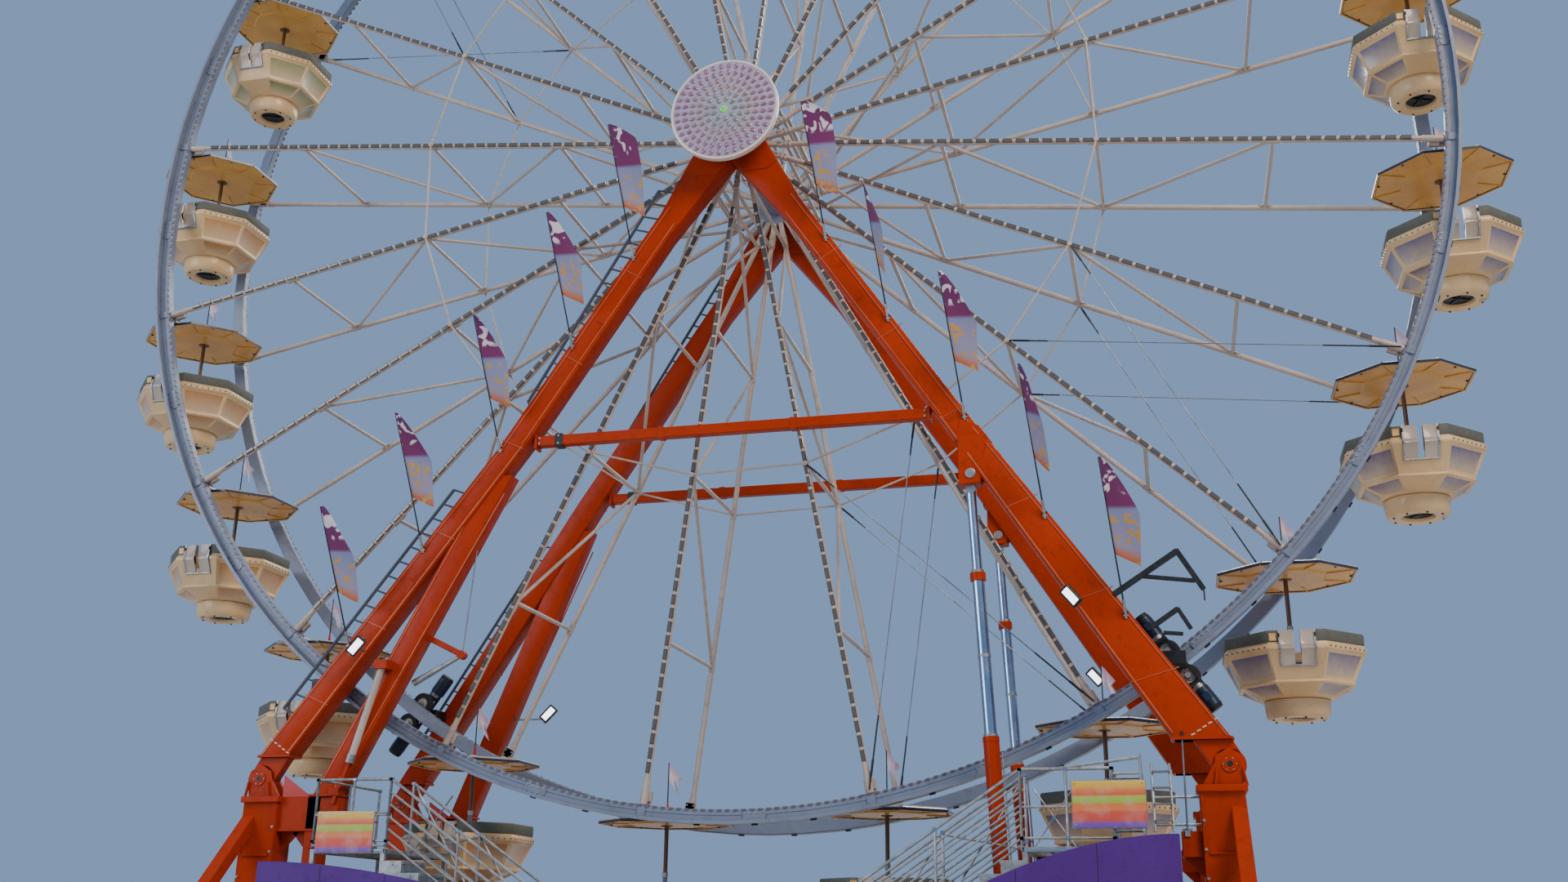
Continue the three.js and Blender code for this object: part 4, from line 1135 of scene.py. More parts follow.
def makeLegBody(footIn, hasFork):
    leg = frameLeg
    half, seam, kneeZ, footZ = leg["half"], leg["seam"], leg["kneeZ"], leg["footZ"]
    front, back, faceOut = -leg["headY"] - half, -leg["headY"] + half, half + 0.002

    def innerAt(z):
        if z > kneeZ:
            return sloped(z, *leg["throat"], leg["kneeIn"], kneeZ)
        return sloped(z, leg["kneeIn"], kneeZ, footIn, footZ)

    outline = [(seam, 16.3), (0.3, 16.15), leg["neck"], (leg["kneeOut"], kneeZ), (leg["footOut"], footZ), (footIn, footZ),
               (leg["kneeIn"], kneeZ), leg["throat"], (seam, 15.15)]
    headPlate = [(seam, 16.28), (0.29, 16.135), (0.88, 15.005), (0.7, 14.87), (0.24, 14.87), (seam, 15.17)]
    rearPlate = [(seam, 16.22), (0.28, 16.08), (0.80, 15.1), (0.62, 14.95), (0.26, 14.95), (seam, 15.25)]
    bearing = spunAbout(0, hubZ, [(0.185, -2.165), (0.33, -2.165), (0.345, -2.175), (0.345, -2.215), (0.33, -2.225),
                                  (0.20, -2.225), (0.185, -2.215)], 40, zincSteel)
    # half of it lies on the other leg's head, so only this side's half is kept
    editAll(bearing)
    bpy.ops.mesh.bisect(plane_co=(seam, 0, 0), plane_no=(1, 0, 0), clear_inner=True, use_fill=True)
    leaveEdit()
    headBolts = around(12, 0.40, (0, hubZ), -75)
    parts = [
        bored(leanedPrism(outline, front, back, 0.014), -2.4, -1.4, 0.178),
        bearing,
        bored(prism(headPlate, front - 0.02, front, orangePaint, 0.012), -2.6, -1.9, 0.182),
        bored(prism(rearPlate, back - 0.002, back + 0.03, orangePaint, 0.008), -2.6, -1.4, 0.26),
        boltsAt([(x, front - 0.02, z) for x, z in headBolts if 0.02 < x and z < 16.1], 0.024, zincSteel),
        # edge strips along the leg's edges, in the paler orange that paints their highlight
        edgeStrip((1.15, 14.30), (4.14, 9.83), faceOut),
        edgeStrip((1.05, 13.95), (3.78, 9.86), faceOut),
        edgeStrip((4.14, 9.83), (7.93, 4.40), faceOut),
        edgeStrip((innerAt(9.84) + 0.05, 9.84), (innerAt(4.45) + 0.05, 4.45), faceOut, 0.03, 0.016),
    ]
    # cross welds where the leg's boxes meet, in the paler orange of a painted highlight, and access plates
    for z in leg["welds"]:
        slope = -0.18 if z > kneeZ else -0.14
        start, end = (innerAt(z) + 0.03, z + slope * 0.5), (legOuter(z) - 0.03, z - slope)
        parts.append(edgeStrip(start, end, faceOut, 0.016, 0.007))
    for z in leg["accessPlates"]:
        x, y = legOuter(z) - 0.33, legDepth(z) - half
        plate = block((x - 0.09, y - 0.012, z - 0.13), (x + 0.09, y + 0.01, z + 0.13), orangePaint, 0.006)
        plate.data.transform(move(x, 0, z) @ turn(-34, "Y") @ move(-x, 0, -z))
        parts.append(plate)
    # foot flange with short weld beads over it in a row square to the leg, then the hinge eye
    y = legDepth(footZ)
    flange = [(footIn - 0.03, footZ), (8.03, footZ), (8.0, 4.40), (footIn - 0.05, 4.40)]
    parts.append(prism(flange, y - faceOut - 0.001, y + faceOut + 0.001, orangePaint, 0.002))
    for i in range(5):
        x, z = 7.42 + 0.084 * i, 4.42 + 0.055 * i
        y = legDepth(z) - half
        parts.append(bar((x, y, z), (x + 0.06, y, z + 0.025), 0.024, 0.02, boardEdge, 0.004))
    y, deep = legDepth(hingeZ), 0.0895
    neck = [(7.41, 4.42), (7.96, 4.42), (8.14, 4.1), (7.98, 3.88), (7.73, 3.9)]
    eye = [(0.077, y - deep), (0.23, y - deep), (0.24, y - 0.08), (0.24, y + 0.08), (0.23, y + deep), (0.077, y + deep)]
    parts += [prism(neck, y - deep, y + deep, orangePaint, 0.01), spunAbout(hingeX, hingeZ, eye, 32, orangePaint)]
    if hasFork:
        # the second beam low on the leg, and its foot
        low, y = 3.6903, legDepth(3.72)
        fork = [(3.92, 9.3), (4.38, 9.3), (6.87, low), (6.41, low)]
        parts += [
            leanedPrism(fork, -leg["headY"] - 0.17, -leg["headY"] + 0.17, 0.012),
            # edge strips along the fork beam, in the paler orange that paints their highlight
            edgeStrip((4.33, 9.25), (6.80, 3.75), 0.172),
            edgeStrip((4.02, 8.95), (6.50, 3.75), 0.172),
            block((6.36, y - 0.2, low), (6.92, y + 0.2, 3.73), orangePaint, 0.006),
        ]
    else:
        # the ear that holds the lifting cylinder's upper end
        boss = [(0.005, -2.215), (0.07, -2.215), (0.085, -2.205), (0.085, -1.845), (0.07, -1.835), (0.005, -1.835)]
        parts += [
            prism([(4.05, 8.595), (4.41, 8.612), (4.53, 9.45), (4.05, 9.45)], -2.19, -1.86, orangePaint, 0.012),
            spunAbout(4.25, 8.78, boss, 20, zincSteel),
            prism([(3.98, 9.35), (4.62, 9.30), (4.40, 9.62), (4.10, 9.75)], -2.14, -1.80, orangePaint, 0.012),
        ]
    return smoothBy(joined(parts, "legBody"))


drive = {"railOut": 12.62, "railIn": 12.596 * math.cos(math.pi / 40), "tyre": 0.205, "middleY": 1.70}


def makeDriveUnit():
    # Two tyres on the rim's rail, each with a motor and a gear housing, on one bracket plate
    angle = math.radians(frameLeg["driveDeg"])
    radial = Vector((math.cos(angle), 0, math.sin(angle)))
    middle = (drive["railIn"] + drive["railOut"]) / 2
    reach = (drive["railOut"] - drive["railIn"]) / 2 + 0.006 + drive["tyre"]

    def at(radius, y=drive["middleY"]):
        return Vector((0, 0, hubZ)) + radial * radius + Vector((0, -y, 0))

    parts = [bar(at(middle - 0.10), at(middle + 0.10), 0.24, 0.05, blackPlastic, 0.01)]
    for across in (-0.1, 0.1):
        shift = Vector((math.sin(angle), 0, -math.cos(angle))) * across
        parts.append(bar(at(middle - 0.5) + shift, at(middle + 0.5) + shift, 0.04, 0.06, blackPlastic, 0.004))
    for outward in (-1, 1):
        radius = middle + outward * reach
        centre = at(radius, 0)

        def turned(profile, steps, material):
            return spunAbout(centre.x, centre.z, [(r, -y) for r, y in profile], steps, material)

        def along(start, end, size, material, endSize=None):
            # a round part of the motor, from and to a distance past the tyre's axle
            return rod(at(radius + outward * start), at(radius + outward * end), size, material, 28, endSize)

        parts += [
            turned([(0.11, 1.42), (0.15, 1.412), (0.19, 1.415), (0.205, 1.435), (0.205, 1.455), (0.199, 1.46),
                    (0.205, 1.465), (0.205, 1.485), (0.199, 1.49), (0.205, 1.495), (0.205, 1.515), (0.19, 1.535),
                    (0.15, 1.538), (0.11, 1.53)], 40, blackRubber),
            turned([(0.02, 1.43), (0.06, 1.425), (0.07, 1.45), (0.10, 1.455), (0.115, 1.43), (0.115, 1.52),
                    (0.10, 1.50), (0.06, 1.54), (0.05, 1.58), (0.02, 1.58)], 28, hubWhite),
            turned([(0.04, 1.60), (0.115, 1.60), (0.115, 1.66), (0.10, 1.66), (0.095, 1.65), (0.05, 1.65),
                    (0.04, 1.68)], 24, hubWhite),
            boltsAt([(x, -1.66, z) for x, z in around(6, 0.068, (centre.x, centre.z))], 0.012, zincSteel),
            rod(at(radius, 1.40), at(radius, 1.72), 0.045, zincSteel, 16),
            bar(at(radius + outward * 0.13), at(radius + outward * 0.22), 0.20, 0.17, blackPlastic, 0.02),
            rod(at(radius + outward * 0.2), at(radius + outward * 0.27), 0.10, zincSteel, 20),
            along(0.27, 0.60, 0.132, motorBlue),
            *[along(0.30 + 0.032 * i, 0.308 + 0.032 * i, 0.144, motorBlue) for i in range(9)],
            along(0.60, 0.668, 0.140, blackPlastic, 0.12),
            bar(at(radius + outward * 0.37, 1.84), at(radius + outward * 0.50, 1.84), 0.12, 0.06, motorBlue, 0.012),
        ]
    foot = at(middle, 0)
    legFace = legDepth(foot.z) + frameLeg["half"]
    parts.append(block((foot.x - 0.33, legFace - 0.04, foot.z - 0.11), (foot.x + 0.13, -drive["middleY"], foot.z + 0.11),
                       blackPlastic, 0.015))
    return smoothBy(joined(parts, "driveUnit"))


def floodlight(place, aim, tilt, size=0.34):
    # Box floodlight with a lens, cooling ribs and a U bracket, looking along "aim"
    half, high = size / 2, size * 0.56
    body = block((-half, -0.045, -high / 2), (half, 0.03, high / 2), blackPlastic, 0.012)
    insetFaces(body, facesFront, 0.022, -0.012, floodGlow)
    rib = block((-size * 0.4, 0.03, -0.004), (size * 0.4, 0.06, 0.004), blackPlastic)
    ribs = repeated(rib, [move(0, 0, (i - 2) * high * 0.2) for i in range(5)])
    arms = [bar((s * (half + 0.01), 0, 0), (s * (half + 0.01), 0.11, -0.04), 0.008, 0.03, zincSteel) for s in (-1, 1)]
    back = bar((-half - 0.014, 0.11, -0.04), (half + 0.014, 0.11, -0.04), 0.03, 0.008, zincSteel)
    lamp = joined([body, ribs, back, *arms], "floodlight")
    facing = Vector((0, -1, 0)).rotation_difference(Vector(aim)).to_matrix().to_4x4()
    lamp.data.transform(Matrix.Translation(place) @ facing @ turn(tilt, "Y"))
    return lamp


rightBody, leftBody, driveParts = makeLegBody(7.17, False), makeLegBody(7.44, True), makeDriveUnit()
for node, source, matrix in (
    ("right_front_leg", rightBody, asItIs),
    ("right_rear_leg", rightBody, flipY),
    ("left_front_leg", leftBody, flipX),
    ("left_rear_leg", leftBody, flipX @ flipY),
):
    fitOn(copyOf(source, node + "_box", matrix), "base", "frame_orange", node)
    fitOn(copyOf(driveParts, node + "_tyre_drives", matrix), "base", "frame_orange", node)
useUp(rightBody, leftBody, driveParts)
print("legs made")


# Feather banners on the front legs
bannerCloth = clothFinish(
    "bannerCloth",
    [(0.0, "#c4572e"), (0.05, "#b97a5e"), (0.12, "#9794b4"), (0.46, "#828bb4"), (0.50, "#741a5c"), (1.0, "#5a1452")],
    (("#e0d3dc", 5.0, 0.55, 0.60, 0.64), ("#c99a4c", 9.0, 0.56, 0.44, 0.40)),
)
banner = {
    "long": 2.5,
    "from": 0.98,
    "wide": 0.44,
    "tip": 0.03,
    "wave": 0.022,
    "drop": 0.24,
    "turnsDeg": {"left": (6, 4, 0, 10, -8), "right": (0, -62, 8, -58, 4)},
}


def bannerPlace(root, turnDeg, phase, taper):
    b = banner
    lean = Vector(frameLeg["bannerLean"]).normalized()
    outward = Vector((math.cos(math.radians(turnDeg)), math.sin(math.radians(turnDeg)), 0))
    outward = (outward - lean * outward.dot(lean)).normalized()
    normal = lean.cross(outward)

    def place(u, v):
        # widest in the middle, a long taper to the top and a foot that slants down to its outer corner
        width = b["wide"] * min(1.0, 0.72 + 0.62 * v) * min(1.0, (1 - v) * taper) ** 0.8 + b["tip"]
        along = b["from"] + (b["long"] - b["from"]) * v - b["drop"] * u * (1 - v) ** 2
        ripple = b["wave"] * u * math.sin(7 * v + 2.4 * u + phase) + 0.03 * u * u * math.sin(phase * 2)
        return root + lean * along + outward * (0.008 + width * u) + normal * ripple

    return place


for side, sideName in ((-1, "left"), (1, "right")):
    for order, z in enumerate(frameLeg["bannerFeet"]):
        node, name = f"{sideName}_front_leg", f"{sideName}_banner_{order + 1}"
        root = Vector((side * (legOuter(z) - 0.11), legDepth(z) - frameLeg["half"] + 0.008, z))
        lean, forward = Vector(frameLeg["bannerLean"]), Vector((0, -0.02, 0))
        clips = [block(root + Vector((-0.04, -0.05, up - 0.012)), root + Vector((0.04, 0.01, up + 0.012)), zincSteel, 0.003)
                 for up in (0.02, 0.10)]
        stand = joined([
            rod(root + forward, root + lean * banner["long"], 0.015, blackPlastic, 8, 0.006),
            rod(root - lean * 0.02 + forward, root + lean * 0.28 + forward * 0.75, 0.024, zincSteel, 10),
            *clips,
        ], name + "_pole")
        fitOn(smoothBy(stand, 35), "base", "frame_orange", node)
        # the pair next to the hub is nearly as wide at its top
        taper, area = (4.5, 0.62) if order == 0 else (1.7, 0.52)
        shape = bannerPlace(root, banner["turnsDeg"][sideName][order], order * 1.3 + side, taper)
        cloth = clothFrom(name + "_cloth", 7, 24, shape, bannerCloth)
        fitOn(cloth, "base", "frame_orange", node)
print("banners made")


# Tie bars and lifting cylinders
tie = {"low": 9.855, "high": 10.045, "deep": 0.085, "half": 3.71 - 0.6641 * (10.045 - 9.85) - 0.0003, "clampX": -3.12}
lift = {"foot": (4.61, -2.025, 0.675), "top": (4.23, -2.025, 8.6), "pinX": 4.605, "pinZ": 0.80}


def makeTieBar(side, name):
    half, y, low, high, deep, clampX = tie["half"], side * 1.9, tie["low"], tie["high"], tie["deep"], tie["clampX"]

    def bolts(x, out, heights, size):
        return boltsAt([(x, y + side * out, z) for z in heights], size, zincSteel, (0, side, 0))

    parts = [block((-half, y - deep, low), (half, y + deep, high), orangePaint, 0.012)]
    for s in (-1, 1):
        parts += [
            block((s * (half - 0.05), y - 0.12, 9.80), (s * half, y + 0.12, 10.06), orangePaint, 0.006),
            upright(s * 1.2, y, 0.06, 0.095, low - 0.01, high + 0.01, orangePaint, 0.006),
            bolts(s * (half - 0.09), deep, (9.90, 10.0), 0.018),
        ]
    parts.append(upright(clampX, y, 0.07, 0.105, 9.83, 10.068, blackPlastic, 0.01))
    parts.append(bolts(clampX, 0.105, (9.88, 10.02), 0.016))
    return smoothBy(joined(parts, name))


def makeLiftingCylinder():
    foot, top = Vector(lift["foot"]), Vector(lift["top"])
    along, long = (top - foot).normalized(), (top - foot).length
    x, y, z = lift["pinX"], foot.y, lift["pinZ"]
    stages = (
        (0.12, 3.80, 0.126, orangePaint), (3.78, 3.86, 0.13, orangePaint), (3.855, 3.90, 0.112, zincSteel),
        (0.12, 0.20, 0.13, orangePaint), (3.86, 6.36, 0.098, brightSteel), (6.34, 6.47, 0.127, orangePaint),
        (6.46, 6.52, 0.10, zincSteel), (6.47, long - 0.05, 0.082, brightSteel), (1.3, 1.35, 0.13, orangePaint),
        (2.5, 2.55, 0.13, orangePaint), (5.1, 5.15, 0.104, zincSteel),
    )
    parts = [rod(foot + along * start, foot + along * end, radius, material, 36) for start, end, radius, material in stages]
    parts += [upright(4.61, y + out, 0.15, 0.018, 0.6403, 0.90, orangePaint, 0.01) for out in (-0.13, 0.13)]
    eye, side = foot + along * (long - 0.05), Vector((0.16, -0.02, 0))
    parts += [
        rod((x, y - 0.15, z), (x, y + 0.15, z), 0.05, zincSteel, 20),
        rod((x, y - 0.10, z), (x, y + 0.10, z), 0.10, orangePaint, 28),
        upright(4.61, y, 0.15, 0.15, 0.6403, 0.665, orangePaint, 0.005),
        rod((eye.x, y - 0.08, eye.z), (eye.x, y + 0.08, eye.z), 0.085, zincSteel, 28),
    ]
    # oil pipe beside the barrel, with its clips
    parts.append(rod(foot + along * 0.45 + side, foot + along * 3.62 + side, 0.014, zincSteel, 10))
    for at in (0.5, 1.32, 2.52, 3.55):
        parts.append(bar(foot + along * at + side * 0.7, foot + along * at + side * 1.1, 0.03, 0.04, zincSteel, 0.003))
    return smoothBy(joined(parts, "liftingCylinder"))


for side, place in ((-1, "front"), (1, "rear")):
    fitOn(makeTieBar(side, place + "_tie_bar_beam"), "base", "frame_orange", place + "_tie_bar")
cylinderParts = makeLiftingCylinder()
for node, matrix in (("front_lifting_cylinder", asItIs), ("rear_lifting_cylinder", flipY)):
    fitOn(copyOf(cylinderParts, node + "_stages", matrix), "base", "steel", node)
useUp(cylinderParts)
print("tie bars and cylinders made")


# Towers, chassis, jacks and outriggers
base = {
    "padHalf": 0.31,
    "towerX": 7.79,
    "channelDeep": 0.03,
    "beamLow": 0.3,
    "beamTop": 0.64,
    "crossX": (-4.61, 0, 4.61),
    "outriggerX": 8.01,
    "outriggerY": -5.45,
}


def jackOnPad(x, y, top):
    half = base["padHalf"]
    board = loft(4, [(half, 0.0), (half, 0.045), (half - 0.02, 0.06)], blackRubber, 45)
    board.data.transform(move(x, y, 0))
    return [
        board,
        upright(x, y, 0.2, 0.2, 0.055, 0.08, zincSteel, 0.006),
        upright(x, y, 0.11, 0.11, 0.14, top, orangePaint, 0.012),
        upright(x, y, 0.13, 0.13, 0.13, 0.16, zincSteel, 0.006),
        rod((x, y, 0.07), (x, y, 0.16), 0.06, brightSteel, 20),
    ]


def makeTowerSide(hasInnerPost):
    x, y = base["towerX"], legDepth(hingeZ)
    outX, outY = base["outriggerX"], base["outriggerY"]
    post = upright(x, y, 0.32, 0.26, 0.25, 3.7, orangePaint, 0.016)
    insetFaces(post, lambda c, n: n.y < -0.9 or n.x > 0.9, 0.085, -base["channelDeep"])
    rows = [(x + dx, y - 0.26, z) for dx in (-0.28, 0.28) for z in (0.8, 1.2, 1.6, 2.0, 2.4, 2.8, 3.2)]
    parts = [
        post,
        upright(x, y, 0.36, 0.30, 3.60, 3.70, orangePaint, 0.01),
        upright(x, y, 0.345, 0.285, 0.60, 0.66, orangePaint, 0.008),
        *blocks(orangePaint, *[((x - 0.24, y - 0.262, z - 0.02), (x + 0.24, y - 0.22, z + 0.02), 0.006)
                               for z in (1.35, 2.05, 2.75)]),
        boltsAt(rows, 0.018, zincSteel),
        *jackOnPad(x, y, 0.26),
    ]
    # ears, pin and keeper plates
    ear = [(7.51, 3.68), (8.10, 3.68), (8.155, 4.0), (8.12, 4.13), (7.93, 4.24), (7.74, 4.13), (7.705, 4.0)]
    for side in (-1, 1):
        near = y + side * 0.0903
        far, keeper = near + side * 0.06, near + side * 0.078
        keeperBolts = [(px, keeper, pz) for px, pz in around(6, 0.093, (hingeX, hingeZ))]
        parts += [
            prism(ear, min(near, far), max(near, far), orangePaint, 0.008),
            rod((hingeX, far - side * 0.002, hingeZ), (hingeX, keeper, hingeZ), 0.115, orangePaint, 28),
            boltsAt(keeperBolts, 0.009, zincSteel, (0, side, 0)),
        ]
        for dx in (-0.24, 0.21):
            low, high = hingeX + dx, hingeX + dx * 0.8
            web = [(low, 3.69), (low + 0.03, 3.69), (high + 0.02, 3.95), (high, 3.95)]
            parts.append(prism(web, min(far, far + side * 0.05), max(far, far + side * 0.05), orangePaint))
    for half, radius, material in ((0.175, 0.0745, orangePaint), (0.178, 0.045, blackPlastic)):
        parts.append(rod((hingeX, y - half, hingeZ), (hingeX, y + half, hingeZ), radius, material, 28))
    # sloping outrigger, its low beam and its foot, then the sill that runs back to the middle
    parts += [
        bar((outX, y, 3.48), (outX, outY, 0.25), 0.22, 0.22, orangePaint, 0.012, side=(1, 0, 0)),
        bar((outX, y, 0.34), (outX, outY, 0.34), 0.18, 0.18, orangePaint, 0.012, side=(0, 0, 1)),
        bar((outX, -3.4, 0.36), (outX, -3.72, 1.9), 0.10, 0.10, orangePaint, 0.008, side=(1, 0, 0)),
        *jackOnPad(outX, outY, 0.31),
        block((7.93, -5.58, 0.28), (8.09, -5.30, 0.52), orangePaint, 0.012),
        block((x - 0.15, y, base["beamLow"]), (x + 0.15, 0.01, base["beamTop"]), orangePaint, 0.014),
        block((x - 0.17, y, 0.62), (x + 0.17, 0.01, 0.645), orangePaint, 0.004),
    ]
    if hasInnerPost:
        parts += blocks(
            orangePaint,
            ((6.70, y - 0.17, 0.6403), (6.96, y + 0.17, 3.69), 0.014),
            ((6.38, y - 0.17, 3.15), (7.50, y + 0.17, 3.69), 0.014),
            ((6.36, y - 0.19, 3.13), (7.48, y + 0.19, 3.17), 0.006),
            ((6.66, y - 0.21, 0.6403), (7.0, y + 0.21, 0.68), 0.006),
        )
        for gusset in ([(6.96, 3.15), (7.30, 3.15), (6.96, 2.78)], [(7.47, 3.15), (7.12, 3.15), (7.47, 2.78)]):
            parts.append(prism(gusset, y - 0.012, y + 0.012, orangePaint, 0.003))
        parts.append(prism([(6.90, 3.69), (7.45, 3.69), (7.45, 4.05)], y - 0.16, y - 0.14, redPaint, 0.004))
        parts.append(block((7.04, y - 0.12, 1.6), (7.36, y + 0.06, 2.15), blackPlastic, 0.015))
    else:
        parts.append(block((7.18, y - 0.15, 2.69), (7.47, y + 0.15, 3.06), orangePaint, 0.014))
        parts.append(prism([(7.19, 2.70), (7.47, 2.70), (7.47, 2.42)], y - 0.012, y + 0.012, orangePaint, 0.003))
        parts.append(block((7.20, y - 0.10, 3.06), (7.34, y + 0.10, 3.10), zincSteel, 0.006))
    return smoothBy(joined(parts, "towerSide"))


def makeChassis(name):
    y, end, low, high = -legDepth(hingeZ), base["towerX"] - 0.3203, base["beamLow"], base["beamTop"]
    parts = []
    for side in (-1, 1):
        face = side * (y + 0.15)

        def onFace(halfX, proud, lowZ, highZ):
            nearY, farY = sorted((face, face + side * proud))
            return block((-halfX, nearY, lowZ), (halfX, farY, highZ), orangePaint, 0.003)

        parts += [
            upright(0, side * y, end, 0.15, low, high, orangePaint, 0.014),
            onFace(end - 0.05, 0.012, 0.335, 0.36),
            repeated(onFace(0.012, 0.02, 0.32, 0.62), [move(i - 7.0, 0, 0) for i in range(15)]),
        ]
        for x in base["crossX"]:
            parts += jackOnPad(x, side * y, 0.31)
            parts.append(upright(x, side * y, 0.17, 0.17, 0.285, 0.32, orangePaint, 0.005))
    for x in base["crossX"]:
        parts.append(upright(x, 0, 0.15, y - 0.1, low, high, orangePaint, 0.014))
        parts += [upright(x, at, 0.165, 0.02, low - 0.01, high + 0.01, orangePaint, 0.004) for at in (-1.2, 0.0, 1.2)]
    return smoothBy(joined(parts, name))


for node, hasInnerPost, outward in (("right_tower_frame", False, asItIs), ("left_tower_frame", True, flipX)):
    both = repeated(makeTowerSide(hasInnerPost), [outward, outward @ flipY])
    fitOn(joined([both], node + "_posts"), "base", "frame_orange", node)
fitOn(makeChassis("base_chassis_beams"), "base", "frame_orange", "base_chassis")
print("towers and chassis made")


# Boarding platform: deck, front steps, and a flight up to a landing at each side
platform = {
    "deckTop": 1.15,
    "deckHalf": 2.5,
    "inner": 1.19,
    "outer": 3.5,
    "landingTop": 2.8,
    "landingFrom": 4.98,
    "landingTo": 6.3,
    "landingInner": 1.3,
    "stairInner": 2.7,
    "treads": 8,
    "under": 0.16,
    "lap": 0.03,
    "sheet": 0.014,
    "frontHalf": 1.4,
    "frontRun": 1.5,
    "frontTreads": 5,
    "tube": 0.023,
    "postHalf": 0.038,
    "postsX": (-2.46, -0.8, 0.8, 2.46),
    "chassisTop": 0.6403,
    "rearBack": 2.66,
    "frame": 0.03,
}
topRail = 1.1 - platform["tube"]
sixRails = (0.12, 0.31, 0.50, 0.69, 0.88, topRail)
threeRails = (0.12, 0.55, topRail)


def flightOutline(start, end, treads):
    (startAt, startZ), (endAt, endZ) = start, end
    run, rise = (endAt - startAt) / treads, (endZ - startZ) / (treads + 1)
    lap, foot = math.copysign(platform["lap"], run), max(startZ - platform["under"], 0)
    points = [(startAt - lap, foot), (startAt - lap, startZ + rise)]
    for i in range(1, treads):
        points += [(startAt + run * i, startZ + rise * i), (startAt + run * i, startZ + rise * (i + 1))]
    points += [(endAt, endZ - rise), (endAt, endZ - 0.005), (endAt + lap, endZ - 0.005)]
    return points + [(endAt + lap, endZ - rise - platform["under"]), (startAt + run * 0.6, foot)]


def stairFlight(start, end, treads, nearY, farY):
    # Saw-edged stringers with folded treads, ribbed nosings and closed risers between them
    outline, sheet = flightOutline(start, end, treads), platform["sheet"]
    run, rise = (end[0] - start[0]) / treads, (end[1] - start[1]) / (treads + 1)
    side = math.copysign(1, run)
    near, far = nearY + sheet, farY - sheet
    x, z = start[0], start[1] + rise
    ribs = [block((x + side * out, near + 0.03, z), (x + side * (out + 0.012), far - 0.03, z + 0.004), brightSteel)
            for out in (0.06, 0.105, 0.15, 0.195)]
    step = joined([
        block((x, near, z - 0.032), (x + run, far, z), deckMetal, 0.004),
        block((x - side * 0.02, near, z - 0.05), (x + side * 0.028, far, z + 0.003), zincSteel, 0.004),
        block((x + side * 0.004, near, z - rise), (x + side * 0.012, far, z - 0.03), zincSteel),
        *ribs,
    ], "step")
    return [
        prism(outline, nearY, near, zincSteel),
        prism(outline, far, farY, zincSteel),
        repeated(step, [move(run * i, 0, rise * i) for i in range(treads)]),
        boltsAt([(x + run * (i + 0.5), nearY, z + rise * i - 0.06) for i in range(treads)], 0.014, brightSteel),
    ]


def guardRail(start, end, gaps, heights=threeRails, feet=True):
    # Scaffold tubes with a clamp wherever the lowest or the top rail meets a post
    start, end, tube = Vector(start), Vector(end), platform["tube"]
    posts = [start.lerp(end, i / gaps) for i in range(gaps + 1)]
    parts = []
    for height in heights:
        up = Vector((0, 0, height))
        parts.append(rod(start + up, end + up, tube if height == topRail else tube * 0.74, zincSteel, 8))
        if height in (heights[0], topRail):
            low, high = up - Vector((0.031, 0.031, 0.026)), up + Vector((0.031, 0.031, 0.022))
            parts += blocks(brightSteel, *[(at + low, at + high, 0.006) for at in posts])
    for at in posts:
        parts.append(rod(at - Vector((0, 0, 0.06)), at + Vector((0, 0, 1.09)), tube, zincSteel, 8))
        if feet:
            parts.append(block(at - Vector((0.05, 0.022, 0.004)), at + Vector((0.05, 0.022, 0.012)), zincSteel, 0.003))
    return parts


def crossBrace(y, start, end, high, radius=0.017):
    # Two tubes that cross, one a little before the other, with the clamp between them
    (x0, z0), (x1, z1) = start, end
    x, z = (x0 + x1) / 2, (z0 + z1 + high) / 2
    return [
        rod((x0, y - 0.02, z0), (x1, y - 0.02, z1 + high), radius, zincSteel, 6),
        rod((x1, y + 0.02, z1), (x0, y + 0.02, z0 + high), radius, zincSteel, 6),
        rod((x, y - 0.035, z), (x, y + 0.035, z), 0.03, brightSteel, 8),
    ]


def deckPanels(low, high, top, count):
    # Chequer-plate panels in a channel frame, with joists under them
    (x0, y0), (x1, y1) = low, high
    frame = platform["frame"]
    first, near, far = x0 + frame, y0 + frame, y1 - frame
    wide = (x1 - x0 - 2 * frame) / count
    panel = block((first, near, top - 0.03), (first + wide - 0.008, far, top), deckMetal, 0.004)
    joist = block((first + wide - 0.03, near, top - 0.068), (first + wide + 0.022, far, top - 0.03), zincSteel)
    return [
        repeated(panel, [move(wide * i, 0, 0) for i in range(count)]),
        repeated(joist, [move(wide * i, 0, 0) for i in range(count - 1)]),
        block((x0 + 0.02, y0 - 0.001, top - 0.06), (x1 - 0.02, y0 + 0.004, top - 0.03), brightSteel, 0.001),
        *[block((x0, y, top - 0.07), (x1, y + frame, top - 0.002), zincSteel, 0.005) for y in (y0, far)],
        *[block((x, near, top - 0.07), (x + frame, far, top - 0.002), zincSteel, 0.005) for x in (x0, x1 - frame)],
    ]


def deckPost(x, y, foot, top):
    half, plate = platform["postHalf"], 0.04 if foot else 0.085
    nut = [(x + radius, y, foot + z) for radius, z in ((0.02, 0.07), (0.055, 0.075), (0.055, 0.095), (0.02, 0.10))]
    return [
        upright(x, y, half, half, foot + 0.14, top - 0.06, zincSteel, 0.006),
        upright(x, y, 0.04, 0.04, foot + 0.5, foot + 0.54, brightSteel, 0.003),
        rod((x, y, foot + 0.01), (x, y, foot + 0.16), 0.021, brightSteel, 12),
        spun(nut, 12, zincSteel, centre=(x, y, 0), axis=(0, 0, 1)),
        upright(x, y, plate, 0.04, foot, foot + 0.012, zincSteel, 0.003),
    ]


